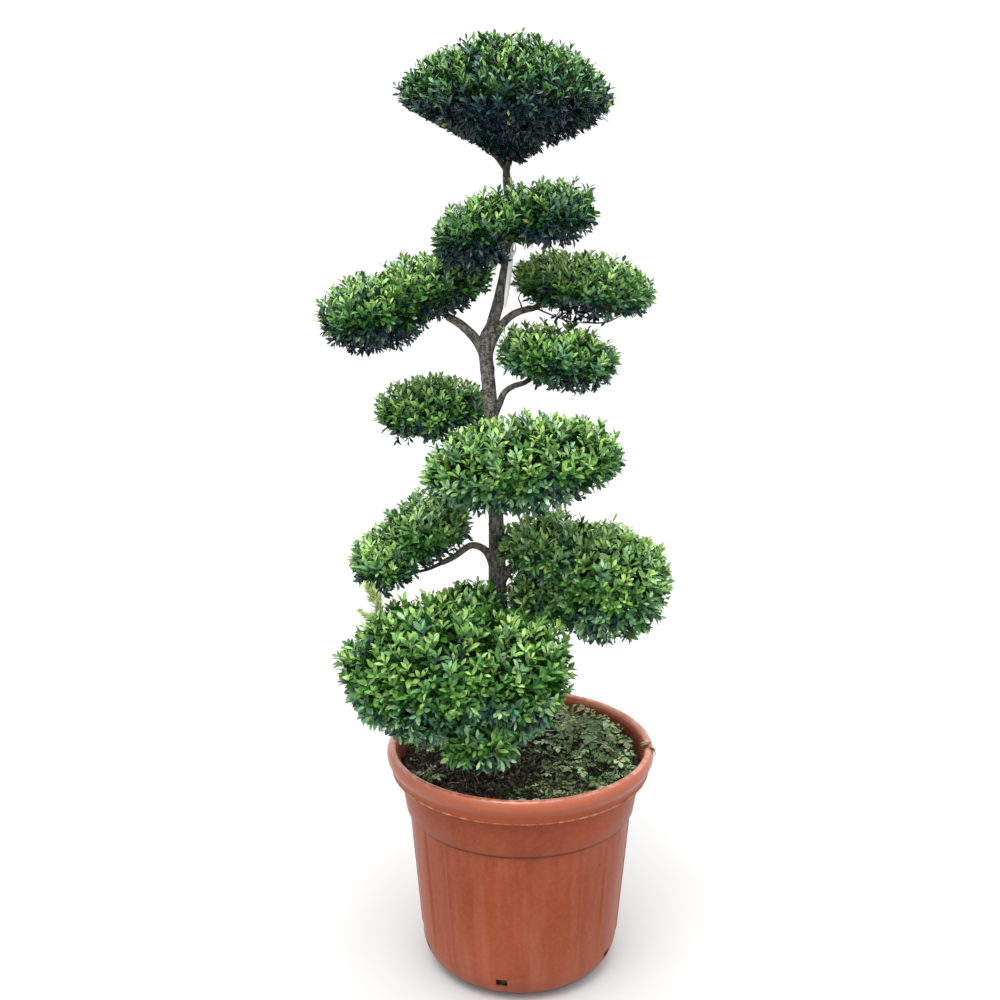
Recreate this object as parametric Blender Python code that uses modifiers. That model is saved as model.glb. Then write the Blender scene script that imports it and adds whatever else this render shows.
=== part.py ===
"""Cloud-pruned evergreen shrub in a round nursery pot: trunk, boughs and clipped pads of foliage.

Metres, +Z up. The origin is the centre of the pot's flat underside, and the front faces -Y.
"""
from math import cos, hypot, pi, radians, sin, sqrt
from random import Random

import bmesh
import bpy
from mathutils import Matrix, Vector

# ---- driving dimensions ------------------------------------------------------------------
GAP = 0.0003                # room left between two pieces that touch
ROUND_STEPS = 48            # facets round the pot and the root ball

POT_HEIGHT = 0.443
RIM_RADIUS = 0.250          # widest, on the rolled rim
RIM_WIDTH = 0.021           # across the rim's rounded top
RIM_ROUND = 0.021           # height of that rounding
RIM_SKIRT = 0.0465          # from the rim's top to the lip of its turned-down skirt
RIM_WALL = 0.0035
SKIRT_INSET = 0.0025        # the skirt's lip stands this far inside the rim's widest point
COLLAR_FOOT = 0.317         # height where the collar steps out of the body
COLLAR_RADII = (0.2145, 0.2285)
STEP = 0.005                # height of the step under the collar
BODY_RADII = (0.187, 0.2075)
FOOT_RADIUS = 0.132         # flat underside
FOOT_ROUND = 0.050          # height of the rounded bottom edge
WALL = 0.004
FLOOR = 0.005

PANELS = 12                 # raised panels round the body
PANEL_WIDTH = radians(15)
PANEL_TURN = radians(-4.3)  # first panel, from the front towards +X
PANEL_PROUD = 0.0015
PANEL_SPAN = (0.062, 0.308)
DRAIN_HOLES = 5
DRAIN_TURN = radians(-9)
DRAIN_SIZE = (0.021, 0.016)
DRAIN_HEIGHT = 0.044

SOIL_EDGE = 0.397           # height of the compost at the wall
SOIL_TOP = 0.4067           # flat patch round the trunk's foot
SOIL_FLAT = 0.085

LABEL_BAND = (0.009, 0.0008)    # width and thickness of the label's plastic
LABEL_LOOP = 0.0098             # inner radius of its loop round the trunk
LABEL_CENTRE = (-0.0242, 0.0040, 1.344)
LABEL_TAIL = ((-0.0195, -0.0062, 1.348), (-0.0295, -0.0140, 1.250))

LEAF = (0.038, 0.020, 0.0034)   # length, width and thickness of one leaf
LEAF_LEANS = (52, 68)           # degrees from its twig, at random between these
LEAF_TRIES = 4                  # a leaf that finds no room is leant over and tried again
LEAN_STEP = 9                   # degrees further at each try
LEAF_SPREAD = 0.005             # from a twig's middle to the roots round it
SIDE_LEAVES = 2                 # on each twig, beside the one that goes on from its tip
TWIG_RADIUS = 0.003
TWIG_JITTER = 0.12              # how far chance turns a twig from its even place
TWIG_DEPTH = 0.019              # from a pad's outer surface to a twig's tip
TWIGS_PER_SQUARE_METRE = 80     # of a pad's surface
CORE_DEPTH = 0.0135             # from a pad's outer surface to its dense heart
CORE_LUMPS = 0.003              # how far the heart's corners move in or out
SHOOTS_RISE = 0.25              # how far the twigs turn up from square to the surface
LEADER_CLEAR = 0.0005           # between a pad's outer surface and its furthest leaf tips
LOBE_ENDS = [Vector(end) for end in ((1, 0, 0), (-1, 0, 0), (0, 1, 0), (0, -1, 0), (0, 0, 1))]
LOBE_JOIN = 0.8                 # no twigs within this share of a neighbouring lobe
LIMB_ROOM = 0.004               # leaves keep this far from trunk, boughs and label
RIM_ROOM = 0.005                # and this far from the pot's rim
SOIL_ROOM = 0.010               # and this far above the compost
LIMB_NEAR = 1.6                 # limbs within this share of a pad are cut clear of it
FINE_SOLVER = 'MANIFOLD'        # for unions of many small pieces, where EXACT is slow
SEED = 40

BARK = (0.115, 0.095, 0.078)
LEAF_GREEN = (0.055, 0.150, 0.030)
TERRACOTTA = (0.430, 0.135, 0.060)
COMPOST = (0.035, 0.028, 0.020)
TAG_WHITE = (0.800, 0.830, 0.780)

# Trunk: x, y, height and diameter, from the compost to the fork under the crown.
TRUNK = (
    (-0.030, 0.000, 0.407, 0.060), (-0.030, 0.000, 0.415, 0.053), (-0.030, 0.000, 0.440, 0.043),
    (-0.034, 0.002, 0.500, 0.036), (-0.040, 0.004, 0.640, 0.033), (-0.043, 0.004, 0.777, 0.031),
    (-0.045, 0.000, 0.878, 0.026), (-0.050, -0.004, 0.992, 0.025), (-0.056, -0.002, 1.092, 0.0245),
    (-0.063, 0.000, 1.185, 0.0235), (-0.051, 0.002, 1.220, 0.0206), (-0.036, 0.004, 1.277, 0.0192),
    (-0.023, 0.004, 1.352, 0.0155), (-0.023, 0.002, 1.412, 0.0140), (-0.027, 0.000, 1.466, 0.0135),
)
# Boughs: each runs from the trunk's centre line to the place where it enters its pad.
BOUGHS = {
    'bough_upper_left': (
        (-0.063, 0.000, 1.178, 0.019), (-0.078, -0.001, 1.192, 0.017), (-0.104, 0.000, 1.218, 0.015),
        (-0.129, 0.002, 1.233, 0.0135)),
    'bough_upper_right': (
        (-0.052, 0.002, 1.194, 0.017), (-0.038, 0.003, 1.214, 0.015), (-0.021, 0.006, 1.232, 0.0130),
        (0.000, 0.010, 1.242, 0.0115), (0.022, 0.014, 1.246, 0.0100)),
    'bough_mid_right': (
        (-0.056, -0.002, 1.070, 0.014), (-0.040, -0.002, 1.082, 0.0125), (-0.030, -0.003, 1.101, 0.0110),
        (-0.015, -0.004, 1.112, 0.0100), (0.004, -0.006, 1.118, 0.0092)),
    'bough_mid_left': (
        (-0.052, -0.002, 1.030, 0.014), (-0.068, 0.012, 1.036, 0.0125), (-0.086, 0.028, 1.031, 0.0115),
        (-0.106, 0.042, 1.029, 0.0105)),
    'bough_lower_left_rise': (
        (-0.043, 0.004, 0.780, 0.018), (-0.056, 0.003, 0.801, 0.0155), (-0.070, 0.001, 0.816, 0.0135),
        (-0.087, -0.001, 0.822, 0.0125)),
    'bough_lower_left_reach': (
        (-0.0860, -0.001, 0.8222, 0.0125), (-0.101, -0.003, 0.816, 0.0115), (-0.120, -0.005, 0.802, 0.0105),
        (-0.143, -0.006, 0.790, 0.0095)),
    'bough_lower_right': (
        (-0.043, 0.004, 0.762, 0.019), (-0.020, 0.002, 0.777, 0.0160), (0.006, 0.000, 0.789, 0.0140)),
}

# Pads: lobes of (x, y, z), half widths along x and y, rise above and drop below the centre, tilt in
# degrees (right side up), and the roundness power of the upper and the lower half.
PADS = {
    'pad_crown': (
        ((-0.028, 0.000, 1.588), (0.180, 0.170), (0.109, 0.098), -1, (1.8, 1.25)),
    ),
    'pad_upper_front': (
        ((0.038, -0.062, 1.409), (0.083, 0.082), (0.057, 0.053), 6, (2.2, 2.3)),
        ((-0.076, -0.080, 1.377), (0.086, 0.078), (0.060, 0.056), 12, (2.3, 2.2)),
    ),
    'pad_upper_left': (
        ((-0.160, 0.022, 1.278), (0.108, 0.100), (0.063, 0.054), 15, (2.3, 2.1)),
        ((-0.249, 0.000, 1.240), (0.102, 0.100), (0.071, 0.067), 14, (2.1, 2.0)),
    ),
    'pad_upper_right': (
        ((0.104, 0.024, 1.283), (0.123, 0.112), (0.058, 0.058), -9, (2.6, 2.3)),
    ),
    'pad_mid_right': (
        ((0.062, -0.020, 1.165), (0.104, 0.095), (0.055, 0.053), -8, (2.6, 2.7)),
    ),
    'pad_mid_left': (
        ((-0.162, 0.062, 1.055), (0.101, 0.088), (0.067, 0.048), 6, (2.0, 2.8)),
    ),
    'pad_centre': (
        ((0.000, -0.110, 0.996), (0.166, 0.118), (0.084, 0.082), 7, (2.0, 1.8)),
    ),
    'pad_lower_left': (
        ((-0.170, 0.000, 0.847), (0.086, 0.095), (0.065, 0.062), 22, (2.2, 2.3)),
        ((-0.238, -0.010, 0.794), (0.068, 0.092), (0.056, 0.054), 20, (2.2, 2.2)),
    ),
    'pad_lower_right': (
        ((0.057, -0.005, 0.822), (0.100, 0.100), (0.058, 0.060), -5, (2.3, 2.3)),
        ((0.150, -0.020, 0.762), (0.116, 0.110), (0.106, 0.110), -16, (2.0, 2.2)),
        ((0.034, 0.006, 0.722), (0.062, 0.056), (0.048, 0.045), -5, (2.2, 2.2)),
    ),
    'pad_base': (
        ((-0.156, -0.130, 0.638), (0.158, 0.145), (0.118, 0.127), 8, (2.3, 1.9)),
        ((-0.030, -0.132, 0.630), (0.117, 0.115), (0.098, 0.118), 0, (2.2, 2.0)),
        ((-0.076, -0.165, 0.528), (0.072, 0.072), (0.061, 0.059), 0, (2.1, 2.1)),
        ((-0.090, -0.060, 0.735), (0.052, 0.050), (0.032, 0.040), 0, (2.1, 2.1)),
    ),
}
# Each pad's stem: its foot on the bough's tip or the trunk's centre line, and its end diameters.
STEMS = {
    'pad_crown': ((-0.027, 0.000, 1.4663), 0.0135, 0.030),
    'pad_upper_front': ((-0.023, 0.004, 1.365), 0.012, 0.010),
    'pad_upper_left': ((-0.1292, 0.002, 1.2331), 0.0130, 0.010),
    'pad_upper_right': ((0.0223, 0.014, 1.2461), 0.0100, 0.008),
    'pad_mid_right': ((0.0043, -0.006, 1.1181), 0.0092, 0.008),
    'pad_mid_left': ((-0.1062, 0.0421, 1.029), 0.0105, 0.008),
    'pad_centre': ((-0.047, -0.002, 0.935), 0.012, 0.010),
    'pad_lower_left': ((-0.1433, -0.006, 0.7899), 0.0095, 0.008),
    'pad_lower_right': ((0.0063, 0.000, 0.7892), 0.0140, 0.012),
    'pad_base': ((-0.037, 0.003, 0.560), 0.018, 0.016),
}
# A long young shoot that stands out of the lowest pad: foot, tip and number of leaf pairs.
SHOOT = ((-0.2560, -0.065, 0.660), (-0.2800, -0.045, 0.735), 4)


# ---- helpers: objects, materials, meshes -------------------------------------------------
def make_material(name, colour, roughness):
    material = bpy.data.materials.new(name)
    material.use_nodes = True
    shader = material.node_tree.nodes['Principled BSDF']
    shader.inputs['Base Color'].default_value = (*colour, 1.0)
    shader.inputs['Roughness'].default_value = roughness
    shader.inputs['Metallic'].default_value = 0.0
    material.diffuse_color = (*colour, 1.0)
    return material


def add_collection(name, hidden=False):
    collection = bpy.data.collections.new(name)
    bpy.context.scene.collection.children.link(collection)
    collection.hide_render = hidden
    return collection


def add_object(name, mesh, collection, material=None):
    obj = bpy.data.objects.new(name, mesh)
    collection.objects.link(obj)
    if material:
        mesh.materials.clear()
        mesh.materials.append(material)
    return obj


def as_cutter(obj):
    obj.hide_render = True
    obj.display_type = 'WIRE'
    return obj


def mesh_of(bm, name):
    mesh = bpy.data.meshes.new(name)
    bm.to_mesh(mesh)
    bm.free()
    return mesh


def settle(obj):
    """Give the object the mesh that its modifiers make, and drop them."""
    depsgraph = bpy.context.evaluated_depsgraph_get()
    mesh = bpy.data.meshes.new_from_object(obj.evaluated_get(depsgraph))
    obj.modifiers.clear()
    obj.data = mesh


def boolean(obj, operation, operand, solver='EXACT'):
    """Join or cut the object with one other object or with a whole collection, and apply it."""
    modifier = obj.modifiers.new(operation.lower(), 'BOOLEAN')
    modifier.operation = operation
    modifier.solver = solver
    if isinstance(operand, bpy.types.Collection):
        modifier.operand_type = 'COLLECTION'
        modifier.collection = operand
    else:
        modifier.object = operand
    settle(obj)


def empty_collection(collection):
    for obj in list(collection.objects):
        bpy.data.objects.remove(obj)
    bpy.data.collections.remove(collection)


def arc(centre, radii, start, end, steps):
    """Points of an elliptical arc in the profile plane; 0 degrees points outwards, 90 up."""
    angles = [radians(start + (end - start) * k / steps) for k in range(steps + 1)]
    return [(centre[0] + radii[0] * cos(a), centre[1] + radii[1] * sin(a)) for a in angles]


def turned(name, profile, collection, material=None, sweep=2 * pi, steps=ROUND_STEPS):
    """A profile of (radius, height) points, run down its outer side and turned about Z."""
    bm = bmesh.new()
    verts = [bm.verts.new((radius, 0.0, height)) for radius, height in profile]
    for upper, lower in zip(verts, verts[1:]):
        bm.edges.new((upper, lower))
    obj = add_object(name, mesh_of(bm, name), collection, material)
    screw = obj.modifiers.new('turn', 'SCREW')
    screw.angle = sweep
    screw.steps = steps
    screw.render_steps = steps
    screw.use_merge_vertices = True
    screw.merge_threshold = 0.0001
    return obj


def smooth_path(points, steps):
    """Points of (x, y, z, diameter) on a Catmull-Rom curve through the given ones."""
    knots = [Vector(p) for p in points]
    knots = [2 * knots[0] - knots[1]] + knots + [2 * knots[-1] - knots[-2]]
    path = []
    for before, start, end, after in zip(knots, knots[1:], knots[2:], knots[3:]):
        for k in range(steps):
            t = k / steps
            path.append(0.5 * (2 * start + (end - before) * t
                               + (2 * before - 5 * start + 4 * end - after) * t ** 2
                               + (3 * start - before - 3 * end + after) * t ** 3))
    return path + [knots[-2]]


def limb(name, path, collection, material=None, spare=0.0, fineness=3):
    """A tapering limb with filled ends; spare is added to its radius and past both ends."""
    curve = bpy.data.curves.new(name, 'CURVE')
    curve.dimensions = '3D'
    curve.bevel_depth = 1.0
    curve.bevel_resolution = fineness
    curve.use_fill_caps = True
    spline = curve.splines.new('POLY')
    spline.points.add(len(path) - 1)
    places = [Vector(p[:3]) for p in path]
    if spare:
        places[0] += spare * (places[0] - places[1]).normalized()
        places[-1] += spare * (places[-1] - places[-2]).normalized()
    for point, place, knot in zip(spline.points, places, path):
        point.co = (*place, 1.0)
        point.radius = knot[3] / 2 + spare
    rough = add_object(name + '_curve', curve, collection)
    depsgraph = bpy.context.evaluated_depsgraph_get()
    mesh = bpy.data.meshes.new_from_object(rough.evaluated_get(depsgraph))
    bm = bmesh.new()
    bm.from_mesh(mesh)
    bmesh.ops.remove_doubles(bm, verts=bm.verts, dist=0.00001)
    bm.to_mesh(mesh)
    bm.free()
    obj = add_object(name, mesh, collection, material)
    obj.matrix_world = rough.matrix_world
    bpy.data.objects.remove(rough)
    mesh.shade_smooth()
    mesh.set_sharp_from_angle(angle=radians(50))
    return obj


def keep_largest_piece(obj):
    """Drop loose scraps and the walls of sealed hollows, and cut the faces into triangles."""
    bm = bmesh.new()
    bm.from_mesh(obj.data)
    unseen = set(bm.faces)
    pieces = []
    while unseen:
        piece = {unseen.pop()}
        front = list(piece)
        while front:
            face = front.pop()
            for edge in face.edges:
                for neighbour in edge.link_faces:
                    if neighbour in unseen:
                        unseen.remove(neighbour)
                        piece.add(neighbour)
                        front.append(neighbour)
        pieces.append(piece)
    largest = max(pieces, key=len)
    scraps = [face for piece in pieces if piece is not largest for face in piece]
    bmesh.ops.delete(bm, geom=scraps, context='FACES')
    bmesh.ops.triangulate(bm, faces=bm.faces)
    bm.to_mesh(obj.data)
    bm.free()


# ---- the space that each pad keeps to ----------------------------------------------------
def lobe_turn(lobe):
    """The rotation that tilts a lobe, its right side up."""
    return Matrix.Rotation(-radians(lobe[3]), 3, 'Y')


def lobe_point(lobe, direction, depth=0.0):
    """The point in a direction that lies a depth below the lobe's surface."""
    centre, (half_x, half_y), (rise, drop), _, powers = lobe
    up = direction.z > 0
    power = powers[0] if up else powers[1]
    height = rise if up else drop
    reach = (hypot(direction.x, direction.y) ** power + abs(direction.z) ** power) ** (-1 / power)
    offset = Vector((direction.x * (half_x - depth), direction.y * (half_y - depth),
                     direction.z * (height - depth)))
    return Vector(centre) + lobe_turn(lobe) @ (offset * reach)


def lobe_outward(lobe, direction):
    """The way that a shoot faces there: square to the surface, and a little upwards."""
    _, (half_x, half_y), (rise, drop), _, _ = lobe
    height = rise if direction.z > 0 else drop
    square = Vector((direction.x / half_x, direction.y / half_y, direction.z / height)).normalized()
    return (lobe_turn(lobe) @ square + Vector((0, 0, SHOOTS_RISE))).normalized()


def lobe_share(lobe, place):
    """How far out a place lies: 0 at the lobe's centre, 1 on its surface."""
    centre, (half_x, half_y), (rise, drop), _, powers = lobe
    offset = lobe_turn(lobe).transposed() @ (Vector(place) - Vector(centre))
    up = offset.z > 0
    power = powers[0] if up else powers[1]
    flat = hypot(offset.x / half_x, offset.y / half_y)
    height = rise if up else drop
    return (flat ** power + (abs(offset.z) / height) ** power) ** (1 / power)


def pad_share(pad, place):
    return min(lobe_share(lobe, place) for lobe in PADS[pad])


def even_directions(count, rng):
    """Directions spread evenly over a sphere, each moved a little at random."""
    golden = pi * (3 - sqrt(5))
    directions = []
    for k in range(count):
        z = 1 - (2 * k + 1) / count
        flat = sqrt(1 - z * z)
        around = golden * k
        direction = Vector((flat * cos(around), flat * sin(around), z))
        shift = Vector([rng.gauss(0, TWIG_JITTER) for _ in range(3)])
        directions.append((direction + shift).normalized())
    return directions


def distance_to_path(path, place):
    """Distance from a place to a limb's bark, below zero inside the limb."""
    nearest = 1.0
    for start, end in zip(path, path[1:]):
        foot, tip = Vector(start[:3]), Vector(end[:3])
        along = tip - foot
        t = max(0.0, min(1.0, (place - foot).dot(along) / along.length_squared))
        radius = (start[3] + (end[3] - start[3]) * t) / 2
        nearest = min(nearest, (place - foot - along * t).length - radius)
    return nearest


def is_free(pad, place, limbs):
    """True where a leaf of this pad may lie: in its own space, and clear of all the rest."""
    if pad_share(pad, place) > 1.0:
        return False
    if any(other != pad and pad_share(other, place) < 1.0 for other in PADS):
        return False
    inner_rim = RIM_RADIUS - RIM_WIDTH - RIM_ROOM
    if place.z < POT_HEIGHT + RIM_ROOM and hypot(place.x, place.y) > inner_rim:
        return False
    if place.z < SOIL_TOP + SOIL_ROOM:
        return False
    return all(distance_to_path(path, place) > LIMB_ROOM for path in limbs)


# ---- foliage -----------------------------------------------------------------------------
def add_bar(start, end, radii, collection, sides=3):
    """A straight tapering bar, the twig or the stem of a pad."""
    along = end - start
    bm = bmesh.new()
    turn = along.to_track_quat('Z', 'Y').to_matrix().to_4x4()
    bmesh.ops.create_cone(bm, cap_ends=True, segments=sides, radius1=radii[0], radius2=radii[1],
                          depth=along.length, matrix=Matrix.Translation((start + end) / 2) @ turn)
    add_object('twig', mesh_of(bm, 'twig'), collection)


def leaf_corners(root, direction, normal):
    """Tip, both edges and middle of a leaf, for the test whether it has room."""
    length, width, _ = LEAF
    side = normal.cross(direction)
    waist = root + direction * length / 2
    return (root + direction * length, waist + side * width / 2, waist - side * width / 2, waist)


def add_leaf(root, direction, normal, collection, scale=1.0):
    """A thin eight-faced leaf from its root to its tip."""
    length, width, thickness = (scale * size for size in LEAF)
    side = normal.cross(direction)
    bm = bmesh.new()
    bmesh.ops.create_uvsphere(bm, u_segments=4, v_segments=2, radius=1.0)
    frame = Matrix((side * width / 2, normal * thickness / 2, direction * length / 2)).transposed()
    centre = root + direction * length / 2
    bmesh.ops.transform(bm, matrix=Matrix.Translation(centre) @ frame.to_4x4(), verts=bm.verts)
    add_object('leaf', mesh_of(bm, 'leaf'), collection)


def add_leader(pad, lobe, direction, limbs, collection):
    """One leaf that stands out of the pad, its tip on the pad's outer surface, if it has room."""
    outward = lobe_outward(lobe, direction)
    root = lobe_point(lobe, direction, LEADER_CLEAR) - outward * LEAF[0]
    normal = outward.orthogonal().normalized()
    if all(is_free(pad, corner, limbs) for corner in leaf_corners(root, outward, normal)):
        add_leaf(root, outward, normal, collection)
        return True
    return False


def add_side_leaves(pad, tip, outward, limbs, rng, collection):
    """The leaves round one twig's tip; those that find no room are skipped."""
    first = rng.uniform(0, 2 * pi)
    across = outward.orthogonal().normalized()
    around = outward.cross(across)
    grown = False
    for k in range(SIDE_LEAVES):
        turn = first + 2 * pi * k / SIDE_LEAVES
        spoke = across * cos(turn) + around * sin(turn)
        root = tip + spoke * LEAF_SPREAD
        lean = radians(rng.uniform(*LEAF_LEANS))
        for _ in range(LEAF_TRIES):
            direction = outward * cos(lean) + spoke * sin(lean)
            normal = outward * sin(lean) - spoke * cos(lean)
            if all(is_free(pad, corner, limbs) for corner in leaf_corners(root, direction, normal)):
                add_leaf(root, direction, normal, collection)
                grown = True
                break
            lean += radians(LEAN_STEP)
    return grown


def lobe_area(lobe):
    """Roughly the surface of a lobe, by Thomsen's rule for an ellipsoid."""
    (half_x, half_y), (rise, drop) = lobe[1], lobe[2]
    half_z = (rise + drop) / 2
    power = 1.6
    faces = ((half_x * half_y) ** power, (half_x * half_z) ** power, (half_y * half_z) ** power)
    return 4 * pi * (sum(faces) / 3) ** (1 / power)


def make_core(name, lobe, rng, collection):
    """The dense heart of a lobe, a lumpy form that the leaves stand out of."""
    bm = bmesh.new()
    bmesh.ops.create_icosphere(bm, subdivisions=2, radius=1.0)
    for vert in bm.verts:
        depth = CORE_DEPTH + rng.uniform(-CORE_LUMPS, CORE_LUMPS)
        vert.co = lobe_point(lobe, vert.co.normalized(), depth)
    return add_object(name, mesh_of(bm, name), collection)


def grow_pad(pad, seed, limbs, cutters, collection, material):
    """Stem, twigs by a seeded rule and leaves on the twigs, all joined with the pad's core."""
    rng = Random(seed)
    lobes = PADS[pad]
    pieces = add_collection(pad + '_pieces', hidden=True)
    cores = [make_core(f'{pad}_core_{k}', lobe, rng, pieces) for k, lobe in enumerate(lobes)]
    body = cores[0]
    pieces.objects.unlink(body)
    collection.objects.link(body)
    body.name = pad
    foot, *diameters = STEMS[pad]
    heart = Vector(lobes[0][0])
    add_bar(Vector(foot), heart, [d / 2 for d in diameters], pieces, sides=8)
    for lobe in lobes[1:]:
        add_bar(heart, Vector(lobe[0]), [diameters[1] / 2] * 2, pieces, sides=6)
    for lobe in lobes:
        count = round(lobe_area(lobe) * TWIGS_PER_SQUARE_METRE)
        others = [other for other in lobes if other is not lobe]
        for direction in even_directions(count, rng):
            tip = lobe_point(lobe, direction, TWIG_DEPTH)
            outward = lobe_outward(lobe, direction)
            joined = any(lobe_share(other, tip) < LOBE_JOIN for other in others)
            if joined or not is_free(pad, tip, limbs):
                continue
            leads = add_leader(pad, lobe, direction, limbs, pieces)
            spreads = add_side_leaves(pad, tip, outward, limbs, rng, pieces)
            if leads or spreads:
                add_bar(Vector(lobe[0]), tip, (TWIG_RADIUS, TWIG_RADIUS), pieces)
        for direction in LOBE_ENDS:
            end = lobe_point(lobe, direction)
            if not any(lobe_share(other, end) < 1 for other in others):
                add_leader(pad, lobe, direction, limbs, pieces)
    if pad == 'pad_base':
        add_shoot(pieces)
    boolean(body, 'UNION', pieces, FINE_SOLVER)
    for cutter in cutters:
        boolean(body, 'DIFFERENCE', cutter, FINE_SOLVER)
    empty_collection(pieces)
    keep_largest_piece(body)
    body.data.materials.clear()
    body.data.materials.append(material)


def add_shoot(collection):
    """The long young shoot: a thin stem with pairs of small leaves up its sides."""
    foot, tip, pairs = Vector(SHOOT[0]), Vector(SHOOT[1]), SHOOT[2]
    along = (tip - foot).normalized()
    add_bar(foot, tip, (0.0030, 0.0022), collection)
    for pair in range(pairs):
        place = foot.lerp(tip, 0.5 + 0.45 * pair / (pairs - 1))
        spoke = along.orthogonal().normalized()
        spoke.rotate(Matrix.Rotation(pair * pi / 2, 3, along))
        for side in (spoke, -spoke):
            direction = (along * 0.9 + side).normalized()
            normal = (along - side * 0.9).normalized()
            add_leaf(place, direction, normal, collection, scale=0.55)


# ---- pot, compost and label --------------------------------------------------------------
def pot_profile():
    """The pot's section, from the middle of its floor up the inside and down the outside."""
    lip = POT_HEIGHT - RIM_SKIRT
    rim_centre = (RIM_RADIUS - RIM_WIDTH / 2, POT_HEIGHT - RIM_ROUND)
    round_centre = (FOOT_RADIUS, FOOT_ROUND)
    outer_round = (BODY_RADII[0] - FOOT_RADIUS, FOOT_ROUND)
    inside = [(0, FLOOR)]
    inside += arc(round_centre, (outer_round[0] - WALL, FOOT_ROUND - FLOOR), -90, 0, 2)
    inside += [(BODY_RADII[1] - WALL, COLLAR_FOOT - STEP), (COLLAR_RADII[0] - WALL, COLLAR_FOOT),
               (COLLAR_RADII[1] - WALL, lip)]
    rim = arc(rim_centre, (RIM_WIDTH / 2, RIM_ROUND), 180, 0, 6)
    rim += [(RIM_RADIUS - SKIRT_INSET, lip), (RIM_RADIUS - SKIRT_INSET - RIM_WALL, lip)]
    rim += arc(rim_centre, (RIM_WIDTH / 2 - RIM_WALL, RIM_ROUND - RIM_WALL), 0, 180, 2)
    outside = [(COLLAR_RADII[1], lip), (COLLAR_RADII[0], COLLAR_FOOT),
               (BODY_RADII[1], COLLAR_FOOT - STEP)]
    outside += arc(round_centre, outer_round, 0, -90, 4)
    return inside + rim + outside + [(0, 0)]


def body_radius(height):
    """Outer radius of the pot's straight body at a height."""
    share = (height - FOOT_ROUND) / (COLLAR_FOOT - STEP - FOOT_ROUND)
    return BODY_RADII[0] + (BODY_RADII[1] - BODY_RADII[0]) * share


def make_pot(collection, cutters):
    plastic = make_material('terracotta plastic', TERRACOTTA, 0.55)
    pot = turned('pot', pot_profile(), collection, plastic)
    first_turn = -pi / 2 + PANEL_TURN - PANEL_WIDTH / 2
    pot.rotation_euler.z = first_turn
    settle(pot)
    panels = add_collection('pot_panels', hidden=True)
    strip = [(body_radius(height) + PANEL_PROUD, height) for height in reversed(PANEL_SPAN)]
    for k in range(PANELS):
        panel = turned(f'panel_{k}', strip, panels, sweep=PANEL_WIDTH, steps=2)
        panel.rotation_euler.z = first_turn + 2 * pi * k / PANELS
        thick = panel.modifiers.new('thick', 'SOLIDIFY')
        thick.thickness = 2 * PANEL_PROUD
        thick.offset = -1
        settle(panel)
    boolean(pot, 'UNION', panels, FINE_SOLVER)
    empty_collection(panels)
    for k in range(DRAIN_HOLES):
        around = -pi / 2 + DRAIN_TURN + 2 * pi * k / DRAIN_HOLES
        bm = bmesh.new()
        bmesh.ops.create_cube(bm, size=1.0)
        hole = as_cutter(add_object(f'drain_{k}', mesh_of(bm, 'drain'), cutters))
        hole.scale = (0.060, DRAIN_SIZE[0], DRAIN_SIZE[1])
        hole.location = (BODY_RADII[0] * cos(around), BODY_RADII[0] * sin(around), DRAIN_HEIGHT)
        hole.rotation_euler.z = around
        boolean(pot, 'DIFFERENCE', hole)
    keep_largest_piece(pot)
    pot.data.shade_smooth()
    pot.data.set_sharp_from_angle(angle=radians(30))


def make_compost(collection):
    """The root ball, filling the pot up to a hair's breadth from its wall."""
    compost = make_material('compost', COMPOST, 0.95)
    room = WALL + GAP
    lip = POT_HEIGHT - RIM_SKIRT
    slope = (COLLAR_RADII[1] - COLLAR_RADII[0]) / (lip - COLLAR_FOOT)
    edge = COLLAR_RADII[0] + slope * (SOIL_EDGE - COLLAR_FOOT) - room
    profile = [(0, SOIL_TOP), (SOIL_FLAT, SOIL_TOP), (0.160, SOIL_TOP - 0.004), (edge, SOIL_EDGE),
               (COLLAR_RADII[0] - room, COLLAR_FOOT + GAP),
               (BODY_RADII[1] - room, COLLAR_FOOT - STEP + GAP)]
    outer_round = (BODY_RADII[0] - FOOT_RADIUS - room, FOOT_ROUND - FLOOR - GAP)
    profile += arc((FOOT_RADIUS, FOOT_ROUND), outer_round, 0, -90, 2)
    profile.append((0, FLOOR + GAP))
    ball = turned('root_ball', profile, collection, compost)
    ball.rotation_euler.z = -pi / 2 + PANEL_TURN - PANEL_WIDTH / 2


def make_label(collection):
    """A blank nursery label: its band loops the trunk and its tail hangs beside it."""
    white = make_material('label plastic', TAG_WHITE, 0.45)
    half = LABEL_BAND[0] / 2
    inner, outer = LABEL_LOOP, LABEL_LOOP + LABEL_BAND[1]
    ring = [(outer, half), (outer, -half), (inner, -half), (inner, half), (outer, half)]
    label = turned('label_strip', ring, collection, white, steps=16)
    label.location = LABEL_CENTRE
    settle(label)
    start, end = Vector(LABEL_TAIL[0]), Vector(LABEL_TAIL[1])
    along = start - end
    facing = along.cross(Vector((1, 0, 0))).normalized()
    width = facing.cross(along).normalized()
    frame = Matrix((width * LABEL_BAND[0], facing * LABEL_BAND[1], along)).transposed()
    bm = bmesh.new()
    bmesh.ops.create_cube(bm, size=1.0)
    centred = Matrix.Translation((start + end) / 2) @ frame.to_4x4()
    bmesh.ops.transform(bm, matrix=centred, verts=bm.verts)
    tail = add_object('label_tail', mesh_of(bm, 'label_tail'), collection)
    boolean(label, 'UNION', tail)
    bpy.data.objects.remove(tail)
    keep_largest_piece(label)


# ---- the whole plant ---------------------------------------------------------------------
for old in list(bpy.data.objects):
    bpy.data.objects.remove(old, do_unlink=True)

plant = add_collection('cloud_pruned_holly')
cutters = add_collection('cutters', hidden=True)
bark = make_material('bark', BARK, 0.85)
foliage = make_material('foliage', LEAF_GREEN, 0.50)

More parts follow.
